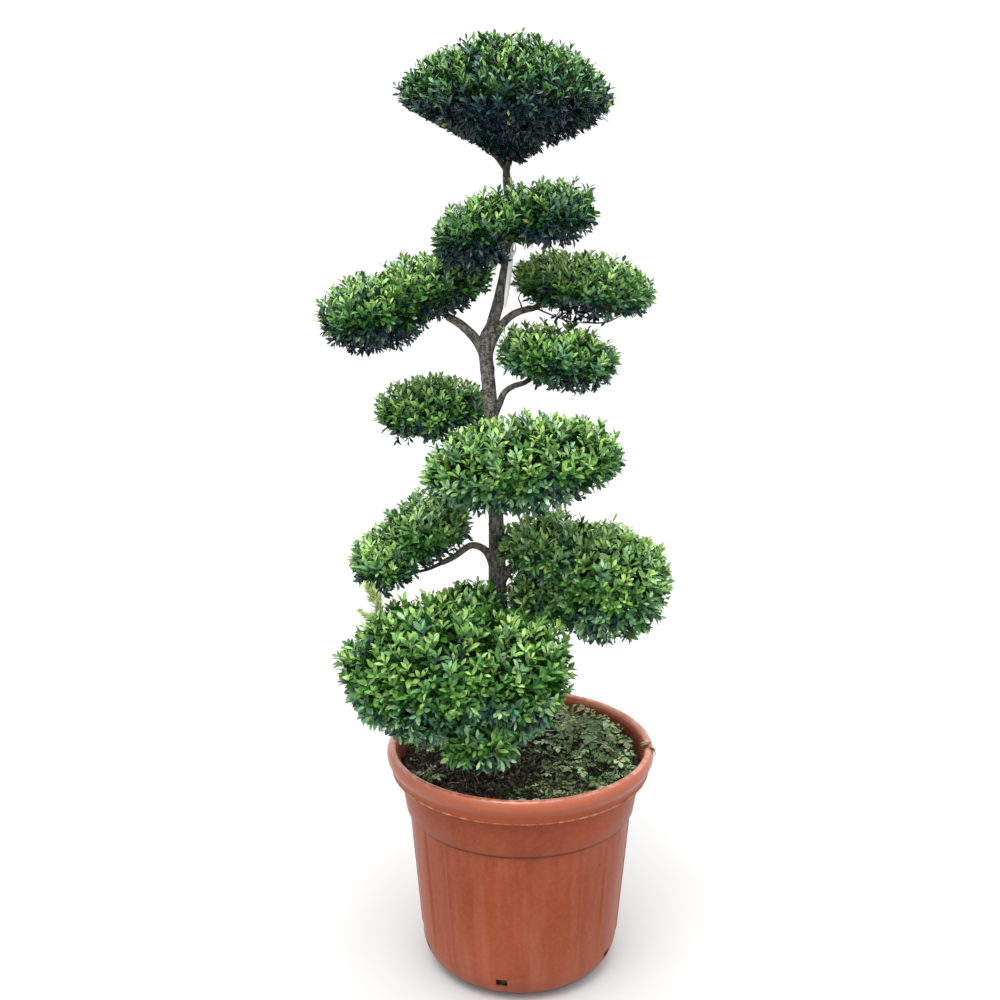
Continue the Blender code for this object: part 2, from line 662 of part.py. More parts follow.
make_pot(plant, cutters)
make_compost(plant)
make_label(plant)

paths = {'trunk': smooth_path(TRUNK, 2)}
paths.update({name: smooth_path(points, 3) for name, points in BOUGHS.items()})
rooms = {}
for name, path in paths.items():
    fineness = 3 if name == 'trunk' else 1
    rooms[name] = as_cutter(limb(name + '_room', path, cutters, spare=GAP, fineness=fineness))
    wood = limb(name, path, plant, bark, fineness=fineness)
    if name != 'trunk':
        boolean(wood, 'DIFFERENCE', rooms['trunk'])
    if name == 'bough_lower_left_reach':
        boolean(wood, 'DIFFERENCE', rooms['bough_lower_left_rise'])
    keep_largest_piece(wood)

label_room = [(*place, LABEL_BAND[0]) for place in LABEL_TAIL]
for number, pad in enumerate(PADS):
    near = [rooms[name] for name, path in paths.items()
            if any(pad_share(pad, point[:3]) < LIMB_NEAR for point in path)]
    grow_pad(pad, SEED + number, [*paths.values(), label_room], near, plant, foliage)
empty_collection(cutters)
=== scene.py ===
"""Looks of a cloud-pruned holly in its pot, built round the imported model.

Metres, +Z up, and the front faces -Y. Each section makes one piece or one kind of piece, in the order
in which a nursery would put the plant together.
"""
from math import cos, pi, radians, sin, sqrt

import bpy
import numpy as np
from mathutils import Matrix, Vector, noise


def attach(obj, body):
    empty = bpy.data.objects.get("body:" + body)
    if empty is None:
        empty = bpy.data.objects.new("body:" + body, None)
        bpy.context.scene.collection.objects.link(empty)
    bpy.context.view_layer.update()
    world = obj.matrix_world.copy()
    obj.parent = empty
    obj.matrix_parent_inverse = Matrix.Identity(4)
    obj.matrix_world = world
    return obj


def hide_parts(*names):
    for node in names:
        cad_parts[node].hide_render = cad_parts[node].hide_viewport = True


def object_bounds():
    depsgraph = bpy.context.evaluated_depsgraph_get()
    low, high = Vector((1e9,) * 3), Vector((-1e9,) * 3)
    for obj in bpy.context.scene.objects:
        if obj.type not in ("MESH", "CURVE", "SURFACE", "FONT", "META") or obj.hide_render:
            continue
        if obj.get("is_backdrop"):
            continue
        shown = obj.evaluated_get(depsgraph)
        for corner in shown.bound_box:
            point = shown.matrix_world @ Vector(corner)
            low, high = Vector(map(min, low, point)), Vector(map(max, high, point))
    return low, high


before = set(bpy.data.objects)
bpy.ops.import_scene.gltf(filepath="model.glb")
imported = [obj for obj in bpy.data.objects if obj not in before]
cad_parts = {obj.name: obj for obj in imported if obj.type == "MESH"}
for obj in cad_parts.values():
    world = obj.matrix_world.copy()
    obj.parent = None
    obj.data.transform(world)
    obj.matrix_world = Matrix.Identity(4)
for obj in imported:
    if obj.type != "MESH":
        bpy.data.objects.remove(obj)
cad_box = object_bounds()

# ---- Camera ------------------------------------------------------------------------------
# A camera held at eye height, a little over two metres in front of the plant, and tipped down
# so that the crown and the pot both fit.
CAMERA_PLACE = (-0.038, -2.25, 1.492)
CAMERA_TIP = radians(75.4)
CAMERA_LENS = 46.8
SENSOR = 36.0

camera = bpy.data.objects.new("camera", bpy.data.cameras.new("camera"))
bpy.context.scene.collection.objects.link(camera)
camera.data.sensor_width = SENSOR
camera.data.lens = CAMERA_LENS
camera.location = CAMERA_PLACE
camera.rotation_euler = (CAMERA_TIP, 0.0, 0.0)
bpy.context.scene.camera = camera

# ---- Pot ---------------------------------------------------------------------------------
# A round nursery pot, injection moulded in terracotta-coloured plastic: rolled rim with a
# turned-down skirt, a collar, a tapering body with twelve raised panels, and a rounded foot
# with five drain holes. Dust has dried on the body, and the rim and collar are cleaner. Its colour
# also carries painted light: pale highlight lines on the rim's edges, a dark line of painted
# shade under the collar, and painted shade inside.
POT_HEIGHT = 0.440
RIM_RADIUS = 0.2495
RIM_WIDTH = 0.020
RIM_ROUND = 0.0165
SKIRT_LIP = 0.3930
SKIRT_INSET = 0.0095
SKIRT_WALL = 0.0035
SKIRT_BEAD = 0.0012
COLLAR_FOOT = 0.317
COLLAR_RADII = (0.2145, 0.2285)
COLLAR_ROUND = 0.0025
COLLAR_STEP = (0.0003, 0.0005)
COLLAR_LIP = (0.0010, 0.0015)
SKIRT_HOLLOW = (0.018, 0.014)
# the skirt's outer curve: share of its inset, and drop below the middle of the rim's roll
SKIRT_CURVE = ((0.08, 0.004), (0.35, 0.009), (0.68, 0.014), (0.92, 0.020))
BODY_TOP = 0.312
BODY_RADII = (0.187, 0.2075)
FOOT_RADIUS = 0.132
FOOT_ROUND = 0.058
POT_WALL = 0.004
POT_FLOOR = 0.005
AXIS_HOLE = 0.0005
POT_STEPS = 420
PANELS = 12
PANEL_WIDTH = radians(15)
PANEL_TURN = radians(-4.3)
PANEL_PROUD = 0.0018
PANEL_EDGE = radians(0.6)
PANEL_GROOVE = 0.0009
PANEL_TAPER = 0.078
PANEL_SPAN = (0.056, 0.312)
PANEL_FADES = (0.012, 0.003)
# where the drain holes are, in degrees round from the front; the first is off its even place
DRAIN_PLACES = (-70, -11, 61, 133, 205)
DRAIN_SIZE = (0.060, 0.021, 0.016)
DRAIN_HEIGHT = 0.044
TERRACOTTA = (0.236, 0.048, 0.018)
TERRACOTTA_DULL = (0.200, 0.041, 0.016)
TERRACOTTA_RIM = (0.275, 0.063, 0.025)
TERRACOTTA_DUST = (0.370, 0.160, 0.100)
TERRACOTTA_DIRT_AND_SHADE = (0.045, 0.016, 0.010)
TERRACOTTA_INNER_SHADE = (0.130, 0.030, 0.014)
PLASTIC_SHINE = (0.10, 0.50)
PLASTIC_ROUGHNESS = (0.36, 0.27)
INNER_ROUGHNESS = 0.60
INNER_SHINE = 0.20
RIM_HEIGHTS = (SKIRT_LIP + 0.012, POT_HEIGHT - 0.006)
FADED_PATCHES = {"scale": 9.0, "stretch": (1, 1, 0.5), "detail": 4.0, "low": 0.35, "high": 0.62}
DUST_STREAKS = {"scale": 40.0, "stretch": (1, 1, 0.06), "detail": 5.0, "low": 0.42, "high": 0.66}
DUST_MOTTLE = {"scale": 120.0, "detail": 5.0, "low": 0.38, "high": 0.62}
EDGE_SCUFF_AND_HIGHLIGHT_PATCHES = {"scale": 70.0, "detail": 4.0, "low": 0.40, "high": 0.62}
DIRT_SPECKS = {"scale": 200.0, "detail": 1.0, "low": 0.76, "high": 0.79}
WET_STAINS_AND_SHADE = {"scale": 60.0, "detail": 5.0, "low": 0.30, "high": 0.55}
INNER_MOTTLE = {"scale": 40.0, "detail": 4.0}
STREAK_SHARE = 0.17
MOTTLE_SHARE = 0.08
LOW_DUST = (0.20, 0.14)
SPECK_SHARE = 0.80
# heights at which the plastic is scuffed pale, partly as painted highlight lines, and where a line of
# painted shade darkens the body under the collar
SCUFFED_AND_HIGHLIGHT_EDGES = ((SKIRT_LIP - 0.001, SKIRT_LIP + 0.0035), (POT_HEIGHT - 0.003, POT_HEIGHT + 0.003))
SHADE_LINE_UNDER_COLLAR = (BODY_TOP - 0.002, COLLAR_FOOT + 0.0016)
SHADE_LINE_SHARE = 0.60
STAIN_AND_SHADE_HEIGHTS = (SKIRT_LIP + 0.034, SKIRT_LIP + 0.004)
STAIN_AND_SHADE_SHARE = 0.85
PLASTIC_GRAIN = (420.0, 2.0, 0.00015)
POT_CORNERS = radians(38)


def new_material(name, roughness, shine=0.5):
    """A material with its node tree and its Principled shader."""
    material = bpy.data.materials.new(name)
    material.use_nodes = True
    shader = material.node_tree.nodes["Principled BSDF"]
    shader.inputs["Roughness"].default_value = roughness
    shader.inputs["Specular IOR Level"].default_value = shine
    return material, material.node_tree, shader


def cloud(tree, scale, stretch=(1, 1, 1), detail=3.0, low=0.35, high=0.65):
    """A cloudy pattern fixed to the piece, from 0 to 1."""
    place = tree.nodes.new("ShaderNodeTexCoord")
    mapping = tree.nodes.new("ShaderNodeMapping")
    mapping.inputs["Scale"].default_value = stretch
    texture = tree.nodes.new("ShaderNodeTexNoise")
    texture.inputs["Scale"].default_value = scale
    texture.inputs["Detail"].default_value = detail
    tree.links.new(place.outputs["Object"], mapping.inputs["Vector"])
    tree.links.new(mapping.outputs["Vector"], texture.inputs["Vector"])
    return ramp(tree, texture.outputs["Fac"], low, high)


def ramp(tree, value, low, high, start=0.0, end=1.0):
    """A value that goes from start to end while another goes from low to high."""
    spread = tree.nodes.new("ShaderNodeMapRange")
    spread.inputs["From Min"].default_value = low
    spread.inputs["From Max"].default_value = high
    spread.inputs["To Min"].default_value = start
    spread.inputs["To Max"].default_value = end
    tree.links.new(value, spread.inputs["Value"])
    return spread.outputs["Result"]


def height_share(tree, low, high, start=0.0, end=1.0):
    """A value at one height above the floor that turns into another at a second height."""
    place = tree.nodes.new("ShaderNodeTexCoord")
    parts = tree.nodes.new("ShaderNodeSeparateXYZ")
    tree.links.new(place.outputs["Object"], parts.inputs["Vector"])
    return ramp(tree, parts.outputs["Z"], low, high, start, end)


def height_band(tree, foot, top, soft):
    """1 between two heights and 0 outside them, with soft edges."""
    return product(tree, height_share(tree, foot, foot + soft), height_share(tree, top, top - soft))


def product(tree, first, second):
    """Two values, or a value and a number, multiplied."""
    times = tree.nodes.new("ShaderNodeMath")
    times.operation = "MULTIPLY"
    for socket, value in zip(times.inputs, (first, second)):
        if isinstance(value, (int, float)):
            socket.default_value = value
        else:
            tree.links.new(value, socket)
    return times.outputs["Value"]


def blended(tree, share, first, second):
    """One colour that turns into another as the share goes from 0 to 1."""
    mix = tree.nodes.new("ShaderNodeMix")
    mix.data_type = "RGBA"
    tree.links.new(share, mix.inputs["Factor"])
    for socket, colour in ((mix.inputs[6], first), (mix.inputs[7], second)):
        if isinstance(colour, tuple):
            socket.default_value = (*colour, 1.0)
        else:
            tree.links.new(colour, socket)
    return mix.outputs[2]


def finished(colour, grain, look, stretch=(1, 1, 1), strength=1.0):
    """The material of a look with its colour, and with a grain of (scale, detail, depth)."""
    material, tree, shader = look
    scale, detail, depth = grain
    relief = cloud(tree, scale, stretch, detail, low=0.2, high=0.8)
    bump = tree.nodes.new("ShaderNodeBump")
    bump.inputs["Strength"].default_value = strength
    bump.inputs["Distance"].default_value = depth
    tree.links.new(relief, bump.inputs["Height"])
    tree.links.new(bump.outputs["Normal"], shader.inputs["Normal"])
    tree.links.new(colour, shader.inputs["Base Color"])
    return material


def piece_of(name, points, faces, materials, tones=None, smooth=True):
    """A piece of the plant from arrays of points and faces, riding on the one body."""
    mesh = bpy.data.meshes.new(name)
    points = np.asarray(points, np.float32)
    faces = [np.asarray(group, np.int32) for group in faces]
    sizes = np.concatenate([np.full(len(group), group.shape[1]) for group in faces])
    mesh.vertices.add(len(points))
    mesh.vertices.foreach_set("co", points.ravel())
    mesh.loops.add(int(sizes.sum()))
    mesh.loops.foreach_set("vertex_index", np.concatenate([group.ravel() for group in faces]))
    mesh.polygons.add(len(sizes))
    mesh.polygons.foreach_set("loop_start", np.cumsum(sizes) - sizes)
    mesh.polygons.foreach_set("loop_total", sizes)
    for material in materials:
        mesh.materials.append(material)
    if tones is not None:
        mesh.polygons.foreach_set("material_index", np.asarray(tones, np.int32))
    mesh.update(calc_edges=True)
    if smooth:
        mesh.shade_smooth()
    obj = bpy.data.objects.new(name, mesh)
    bpy.context.scene.collection.objects.link(obj)
    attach(obj, "root")
    return obj


def arc(centre, radii, start, end, steps):
    """Points of an elliptical arc in the profile plane; 0 degrees points outwards, 90 up."""
    angles = np.radians(np.linspace(start, end, steps + 1))
    return [(centre[0] + radii[0] * cos(a), centre[1] + radii[1] * sin(a)) for a in angles]


def straight(start, end, steps):
    """Points on a straight line of the profile, without its first."""
    return [tuple(p) for p in np.linspace(start, end, steps + 1)[1:]]


def ring_faces(rows, steps, first=0):
    """Quads between closed rings of points that follow one another."""
    row, step = np.meshgrid(np.arange(rows - 1), np.arange(steps), indexing="ij")
    here = first + row * steps + step
    beside = first + row * steps + (step + 1) % steps
    return np.stack([here, here + steps, beside + steps, beside], axis=-1).reshape(-1, 4)


def turned(profile, steps):
    """Points and faces of a closed profile turned about Z; it runs down its outer side."""
    radius, height = np.array(profile).T
    turns = np.arange(steps) * 2 * pi / steps
    points = np.stack([radius[:, None] * np.cos(turns), radius[:, None] * np.sin(turns),
                       height[:, None] + 0 * turns], axis=-1).reshape(-1, 3)
    return points, ring_faces(len(profile) + 1, steps) % len(points)


def smooth_step(value, low, high):
    """A share that eases from 0 at the low value to 1 at the high one."""
    share = np.clip((value - low) / (high - low), 0, 1)
    return share * share * (3 - 2 * share)


def wall_radius(height):
    """Outer radius of the pot's straight body at a height."""
    share = (height - FOOT_ROUND) / (BODY_TOP - FOOT_ROUND)
    return BODY_RADII[0] + (BODY_RADII[1] - BODY_RADII[0]) * share


def pot_profile():
    """The pot's section in two runs: over the rim and down the outside; up the inside."""
    rim_centre = (RIM_RADIUS - RIM_WIDTH / 2, POT_HEIGHT - RIM_ROUND)
    lip = (RIM_RADIUS - SKIRT_INSET, SKIRT_LIP)
    inner_lip = lip[0] - SKIRT_WALL
    rim = arc(rim_centre, (RIM_WIDTH / 2, RIM_ROUND), 180, 0, 22)
    rim += [(RIM_RADIUS - share * SKIRT_INSET, rim_centre[1] - drop) for share, drop in SKIRT_CURVE]
    rim += straight(rim[-1], (lip[0], SKIRT_LIP + 3 * SKIRT_BEAD), 2)
    rim += arc((lip[0] - 0.2 * SKIRT_BEAD, SKIRT_LIP + SKIRT_BEAD), (SKIRT_BEAD,) * 2, 80, -90, 6)
    rim += straight(rim[-1], (inner_lip, SKIRT_LIP), 1)
    rim += straight(rim[-1], (inner_lip, SKIRT_LIP + SKIRT_HOLLOW[0]), 2)
    outside = straight(rim[-1], (COLLAR_RADII[1] + COLLAR_STEP[1], SKIRT_LIP + SKIRT_HOLLOW[1]), 2)
    outside += straight(outside[-1], (COLLAR_RADII[0] + COLLAR_STEP[0], COLLAR_FOOT + COLLAR_ROUND), 3)
    corner = (COLLAR_RADII[0] - COLLAR_ROUND, COLLAR_FOOT + COLLAR_ROUND)
    outside += arc(corner, (COLLAR_ROUND,) * 2, -10, -80, 5)
    outside += straight(outside[-1], (BODY_RADII[1] + COLLAR_LIP[0], BODY_TOP + COLLAR_LIP[1]), 2)
    outside += straight(outside[-1], (BODY_RADII[1], BODY_TOP - COLLAR_LIP[0]), 2)
    outside += straight(outside[-1], (wall_radius(PANEL_TAPER), PANEL_TAPER), 10)
    outside += straight(outside[-1], (BODY_RADII[0], FOOT_ROUND), 10)
    outside += arc((FOOT_RADIUS, FOOT_ROUND), (BODY_RADII[0] - FOOT_RADIUS, FOOT_ROUND), 0, -90, 16)[1:]
    outside += straight(outside[-1], (AXIS_HOLE, 0.0), 3)
    inside = [(AXIS_HOLE, POT_FLOOR)]
    inner_round = (BODY_RADII[0] - FOOT_RADIUS - POT_WALL, FOOT_ROUND - POT_FLOOR)
    inside += arc((FOOT_RADIUS, FOOT_ROUND), inner_round, -90, 0, 6)
    inside += [(BODY_RADII[1] - POT_WALL, BODY_TOP), (COLLAR_RADII[0] - POT_WALL, COLLAR_FOOT)]
    inside += straight(inside[-1], (COLLAR_RADII[1] - POT_WALL, SKIRT_LIP), 6)
    inside += straight(inside[-1], rim[0], 4)
    return rim + outside, inside[:-1]


def raise_panels(points):
    """Lifts the panels of the pot's body out of its wall."""
    radius = np.hypot(points[:, 0], points[:, 1])
    height = points[:, 2]
    angle = np.arctan2(points[:, 1], points[:, 0]) + pi / 2 - PANEL_TURN
    pitch = 2 * pi / PANELS
    off_centre = np.abs((angle + pitch / 2) % pitch - pitch / 2)
    across = 1 - smooth_step(off_centre, PANEL_WIDTH / 2 - PANEL_EDGE, PANEL_WIDTH / 2 + PANEL_EDGE)
    upright = smooth_step(height, PANEL_SPAN[0], PANEL_SPAN[0] + PANEL_FADES[0])
    upright *= 1 - smooth_step(height, PANEL_SPAN[1] - PANEL_FADES[1], PANEL_SPAN[1])
    outer = radius > wall_radius(np.maximum(height, FOOT_ROUND)) - POT_WALL / 2
    groove = 1 - smooth_step(np.abs(off_centre - PANEL_WIDTH / 2 - PANEL_EDGE), 0, PANEL_EDGE)
    lift = (PANEL_PROUD * across - PANEL_GROOVE * groove) * upright * outer
    points[:, :2] *= (1 + lift / np.maximum(radius, 0.01))[:, None]


def pot_plastic():
    """Dusty terracotta plastic: streaked down the body, scuffed and shinier at the rim, with painted
    highlight lines on its edges and a line of painted shade under the collar.
    """
    look = new_material("terracotta plastic", PLASTIC_ROUGHNESS[0])
    _, tree, shader = look
    for name, ends in (("Specular IOR Level", PLASTIC_SHINE), ("Roughness", PLASTIC_ROUGHNESS)):
        tree.links.new(height_share(tree, *RIM_HEIGHTS, *ends), shader.inputs[name])
    colour = blended(tree, cloud(tree, **FADED_PATCHES), TERRACOTTA, TERRACOTTA_DULL)
    colour = blended(tree, height_share(tree, SKIRT_LIP, SKIRT_LIP + 0.02), colour, TERRACOTTA_RIM)
    streaks = height_share(tree, SKIRT_LIP, BODY_TOP - 0.03, 0.0, STREAK_SHARE)
    colour = blended(tree, product(tree, cloud(tree, **DUST_STREAKS), streaks), colour, TERRACOTTA_DUST)
    mottle = product(tree, cloud(tree, **DUST_MOTTLE), MOTTLE_SHARE)
    colour = blended(tree, mottle, colour, TERRACOTTA_DUST)
    colour = blended(tree, height_share(tree, LOW_DUST[0], 0.0, 0.0, LOW_DUST[1]), colour, TERRACOTTA_DUST)
    scuff_and_highlight_patches = cloud(tree, **EDGE_SCUFF_AND_HIGHLIGHT_PATCHES)
    # pale broken lines along the skirt's bead and the rim's top edge: partly scuffs, partly painted
    # highlight
    for foot, top in SCUFFED_AND_HIGHLIGHT_EDGES:
        scuffs_and_highlight = product(tree, height_band(tree, foot, top, 0.001), scuff_and_highlight_patches)
        colour = blended(tree, scuffs_and_highlight, colour, TERRACOTTA_DUST)
    specks = product(tree, cloud(tree, **DIRT_SPECKS), SPECK_SHARE)
    colour = blended(tree, specks, colour, TERRACOTTA_DIRT_AND_SHADE)
    # painted shade: a dark line under the collar, where its step shades the top of the body
    shade_under_collar = product(tree, height_band(tree, *SHADE_LINE_UNDER_COLLAR, 0.0012), SHADE_LINE_SHARE)
    colour = blended(tree, shade_under_collar, colour, TERRACOTTA_DIRT_AND_SHADE)
    return finished(colour, PLASTIC_GRAIN, look)


def stained_and_shaded_plastic():
    """The same plastic inside the pot: duller and darker all over as painted shade, and darker still lower
    down with wet compost stains and painted shade.
    """
    look = new_material("stained and shaded terracotta plastic", INNER_ROUGHNESS, INNER_SHINE)
    tree = look[1]
    # painted shade: the inside is darker than the outside, and near the compost wet stains and painted shade
    # darken it more
    colour = blended(tree, cloud(tree, **INNER_MOTTLE), TERRACOTTA_INNER_SHADE, TERRACOTTA_DULL)
    stain_and_shade = product(tree, height_share(tree, *STAIN_AND_SHADE_HEIGHTS), cloud(tree, **WET_STAINS_AND_SHADE))
    colour = blended(tree, product(tree, stain_and_shade, STAIN_AND_SHADE_SHARE), colour, TERRACOTTA_DIRT_AND_SHADE)
    return finished(colour, PLASTIC_GRAIN, look)


outside, inside = pot_profile()
points, faces = turned(outside + inside, POT_STEPS)
raise_panels(points)
is_inner = np.arange(len(faces)) >= len(outside) * POT_STEPS
pot = piece_of("pot_shell", points, [faces], [pot_plastic(), stained_and_shaded_plastic()],
               tones=is_inner)
for place in DRAIN_PLACES:
    around = radians(place - 90)
    bpy.ops.mesh.primitive_cube_add(size=1.0)
    hole = bpy.context.object
    hole.scale = DRAIN_SIZE
    hole.location = (BODY_RADII[0] * cos(around), BODY_RADII[0] * sin(around), DRAIN_HEIGHT)
    hole.rotation_euler.z = around
    cut = pot.modifiers.new("drain", "BOOLEAN")
    cut.operation = "DIFFERENCE"
    cut.solver = "MANIFOLD"
    cut.object = hole
    depsgraph = bpy.context.evaluated_depsgraph_get()
    drilled = bpy.data.meshes.new_from_object(pot.evaluated_get(depsgraph))
    pot.modifiers.clear()
    pot.data = drilled
    bpy.data.objects.remove(hole)
pot.data.shade_smooth()
pot.data.set_sharp_from_angle(angle=POT_CORNERS)
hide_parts("pot")

# ---- Compost -----------------------------------------------------------------------------
# Dark, moist potting compost that fills the pot to a few centimetres under the rim. It is
# crumbly, with bits of bark and root on top, and it settled a little lower at the wall.
SOIL_EDGE = 0.397
SOIL_TOP = 0.4067
SOIL_FLAT = 0.085
SOIL_LUMP = 0.0125
SOIL_GAP = 0.0006
SOIL_LUMP_SIZE = 0.024
# where the compost is heaped up: middle, rise and spread
SOIL_MOUND = ((0.14, 0.08), 0.017, 0.12)
SOIL_RINGS = 60
SOIL_STEPS = 180
CRUMBS = 3600
CRUMB_SIZES = (0.0012, 0.0062)
CRUMB_SHARES = (0.35, 0.40, 0.25)
CHIPS = 640
CHIP_LENGTHS = (0.006, 0.028)
CHIP_GIRTHS = (0.0004, 0.0013)
CHIP_BEND = 0.25
CHIP_LIFT = 0.0015
COMPOST_DARK = (0.008, 0.006, 0.005)
COMPOST_BROWN = (0.060, 0.050, 0.036)
COMPOST_GREY = (0.150, 0.125, 0.095)
COMPOST_SHINE = 0.10
COMPOST_SCALE = 95.0
CRUMB_COLOURS = {"black crumbs": (COMPOST_DARK, COMPOST_DARK),
                 "brown crumbs": (COMPOST_DARK, COMPOST_BROWN),
                 "grey crumbs": (COMPOST_BROWN, COMPOST_GREY)}
CRUMB_SCALE = 60.0
CHIP_BROWN = (0.340, 0.260, 0.180)
CHIP_SCALE = 120.0


def lumps(points, size, seed, detail=4):
    """Smooth random heights between about -1 and 1, of lumps of a given size."""
    shift = Vector((seed * 3.7, seed * 1.3, seed * 7.1))
    return np.array([noise.fractal(Vector(p) / size + shift, 0.9, 2.0, detail) for p in points])


def soil_radius(height):
    """Inner radius of the collar at a height, less a hair's breadth."""
    slope = (COLLAR_RADII[1] - COLLAR_RADII[0]) / (SKIRT_LIP - COLLAR_FOOT)
    return COLLAR_RADII[0] + slope * (height - COLLAR_FOOT) - POT_WALL - SOIL_GAP


def soil_height(places):
    """Height of the compost's surface at places (x, y)."""
    radius = np.hypot(places[:, 0], places[:, 1])
    level = SOIL_TOP - (SOIL_TOP - SOIL_EDGE) * smooth_step(radius, SOIL_FLAT, soil_radius(SOIL_EDGE))
    flat = np.column_stack([places, np.zeros(len(places))])
    middle, rise, spread = SOIL_MOUND
    level += rise * np.exp(-np.sum((places - np.array(middle)) ** 2, axis=1) / spread ** 2)
    return level + SOIL_LUMP * (lumps(flat, SOIL_LUMP_SIZE, 3) - 0.3) - 0.001


def grains(centres, sizes, rng):
    """Small eight-faced grains at given centres, each knocked out of shape a little."""
    corners = np.array([(1, 0, 0), (0, 1, 0), (-1, 0, 0), (0, -1, 0), (0, 0, 1), (0, 0, -1)], float)
    sides = np.array([(0, 1, 4), (1, 2, 4), (2, 3, 4), (3, 0, 4),
                      (1, 0, 5), (2, 1, 5), (3, 2, 5), (0, 3, 5)])
    shape = corners * sizes[:, None, None] * rng.uniform(0.5, 1.4, (len(centres), 6, 1))
    turn = rng.uniform(0, 2 * pi, len(centres))
    x = shape[..., 0] * np.cos(turn)[:, None] - shape[..., 1] * np.sin(turn)[:, None]
    y = shape[..., 0] * np.sin(turn)[:, None] + shape[..., 1] * np.cos(turn)[:, None]
    points = np.stack([x, y, shape[..., 2]], axis=-1) + centres[:, None]
    faces = sides + 6 * np.arange(len(centres))[:, None, None]
    return points.reshape(-1, 3), faces.reshape(-1, 3)


def scattered(count, reach, rng):
    """Random places (x, y) spread evenly over a round patch."""
    radius = reach * np.sqrt(rng.random(count))
    turn = rng.uniform(0, 2 * pi, count)
    return np.column_stack([radius * np.cos(turn), radius * np.sin(turn)])


def soil_material(name, dark, pale, scale):
    """Dull crumbly stuff in two colours."""
    look = new_material(name, 0.95, COMPOST_SHINE)
    tree = look[1]
    colour = blended(tree, cloud(tree, scale, detail=6.0, low=0.40, high=0.68), dark, pale)
    return finished(colour, (3 * scale, 6.0, 0.0015), look)


rng = np.random.default_rng(11)
edge = soil_radius(SOIL_EDGE)
profile = [(r, SOIL_TOP) for r in np.linspace(AXIS_HOLE, edge, SOIL_RINGS)]
profile += [(soil_radius(COLLAR_FOOT), COLLAR_FOOT + SOIL_GAP),
            (BODY_RADII[1] - POT_WALL - SOIL_GAP, BODY_TOP)]
soil_round = (BODY_RADII[0] - FOOT_RADIUS - POT_WALL - SOIL_GAP, FOOT_ROUND - POT_FLOOR - SOIL_GAP)
profile += arc((FOOT_RADIUS, FOOT_ROUND), soil_round, 0, -90, 6) + [(AXIS_HOLE, POT_FLOOR + SOIL_GAP)]
points, faces = turned(profile, SOIL_STEPS)
top = slice(0, SOIL_RINGS * SOIL_STEPS)
points[top, 2] = soil_height(points[top, :2])
compost = soil_material("compost", COMPOST_DARK, COMPOST_BROWN, COMPOST_SCALE)
soil = piece_of("compost_fill", points, [faces], [compost])
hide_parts("root_ball")

places = scattered(CRUMBS, edge - CRUMB_SIZES[1], rng)
centres = np.column_stack([places, soil_height(places)])
points, faces = grains(centres, rng.uniform(*CRUMB_SIZES, CRUMBS) * rng.uniform(0.5, 1.0, CRUMBS), rng)
crumbs = [soil_material(name, *ends, CRUMB_SCALE) for name, ends in CRUMB_COLOURS.items()]
crumb_tones = rng.choice(3, CRUMBS, p=CRUMB_SHARES).repeat(8)
piece_of("compost_crumbs", points, [faces], crumbs, tones=crumb_tones, smooth=False)


def tubes(paths, radii, sides):
    """Points and quads of many thin tapering tubes; paths are (tubes, stations, 3)."""
    count, stations, _ = paths.shape
    along = np.gradient(paths, axis=1)
    along /= np.linalg.norm(along, axis=-1, keepdims=True) + 1e-12
    guide = np.where(np.abs(along[:, :1, 2:]) > 0.8, (1.0, 0.0, 0.0), (0.0, 0.0, 1.0))
    across = np.cross(along, np.broadcast_to(guide, along.shape))
    across /= np.linalg.norm(across, axis=-1, keepdims=True) + 1e-12
    around = np.cross(along, across)
    turns = np.arange(sides) * 2 * pi / sides
    ring = across[:, :, None] * np.cos(turns)[:, None] + around[:, :, None] * np.sin(turns)[:, None]
    points = paths[:, :, None] + ring * radii[:, :, None, None]
    one = ring_faces(stations, sides)[:, ::-1]
    faces = one + (np.arange(count) * stations * sides)[:, None, None]
    return points.reshape(-1, 3), faces.reshape(-1, 4)


def joined(parts):
    """Points and faces of several meshes as one mesh's."""
    points, faces, first = [], [], 0
    for part_points, part_faces in parts:
        points.append(part_points)
        faces.append(part_faces + first)
        first += len(part_points)
    return np.vstack(points), np.vstack(faces)


# bits of root, bark and straw that lie loose on top
places = scattered(CHIPS, edge - 0.02, rng)
ways = rng.uniform(0, 2 * pi, CHIPS)
lengths = rng.uniform(*CHIP_LENGTHS, CHIPS)
steps = np.linspace(-0.5, 0.5, 4)
bow = rng.uniform(-CHIP_BEND, CHIP_BEND, CHIPS)[:, None] * lengths[:, None] * (0.25 - steps ** 2) * 4
x = places[:, :1] + steps * (lengths * np.cos(ways))[:, None] - bow * np.sin(ways)[:, None]
y = places[:, 1:] + steps * (lengths * np.sin(ways))[:, None] + bow * np.cos(ways)[:, None]
z = soil_height(np.column_stack([x.ravel(), y.ravel()])).reshape(x.shape) + CHIP_LIFT
girths = np.repeat(rng.uniform(*CHIP_GIRTHS, CHIPS)[:, None], 4, axis=1)
points, faces = tubes(np.stack([x, y, z], axis=-1), girths, 4)
chip = soil_material("loose bark and roots", COMPOST_BROWN, CHIP_BROWN, CHIP_SCALE)
piece_of("loose_roots", points, [faces], [chip])

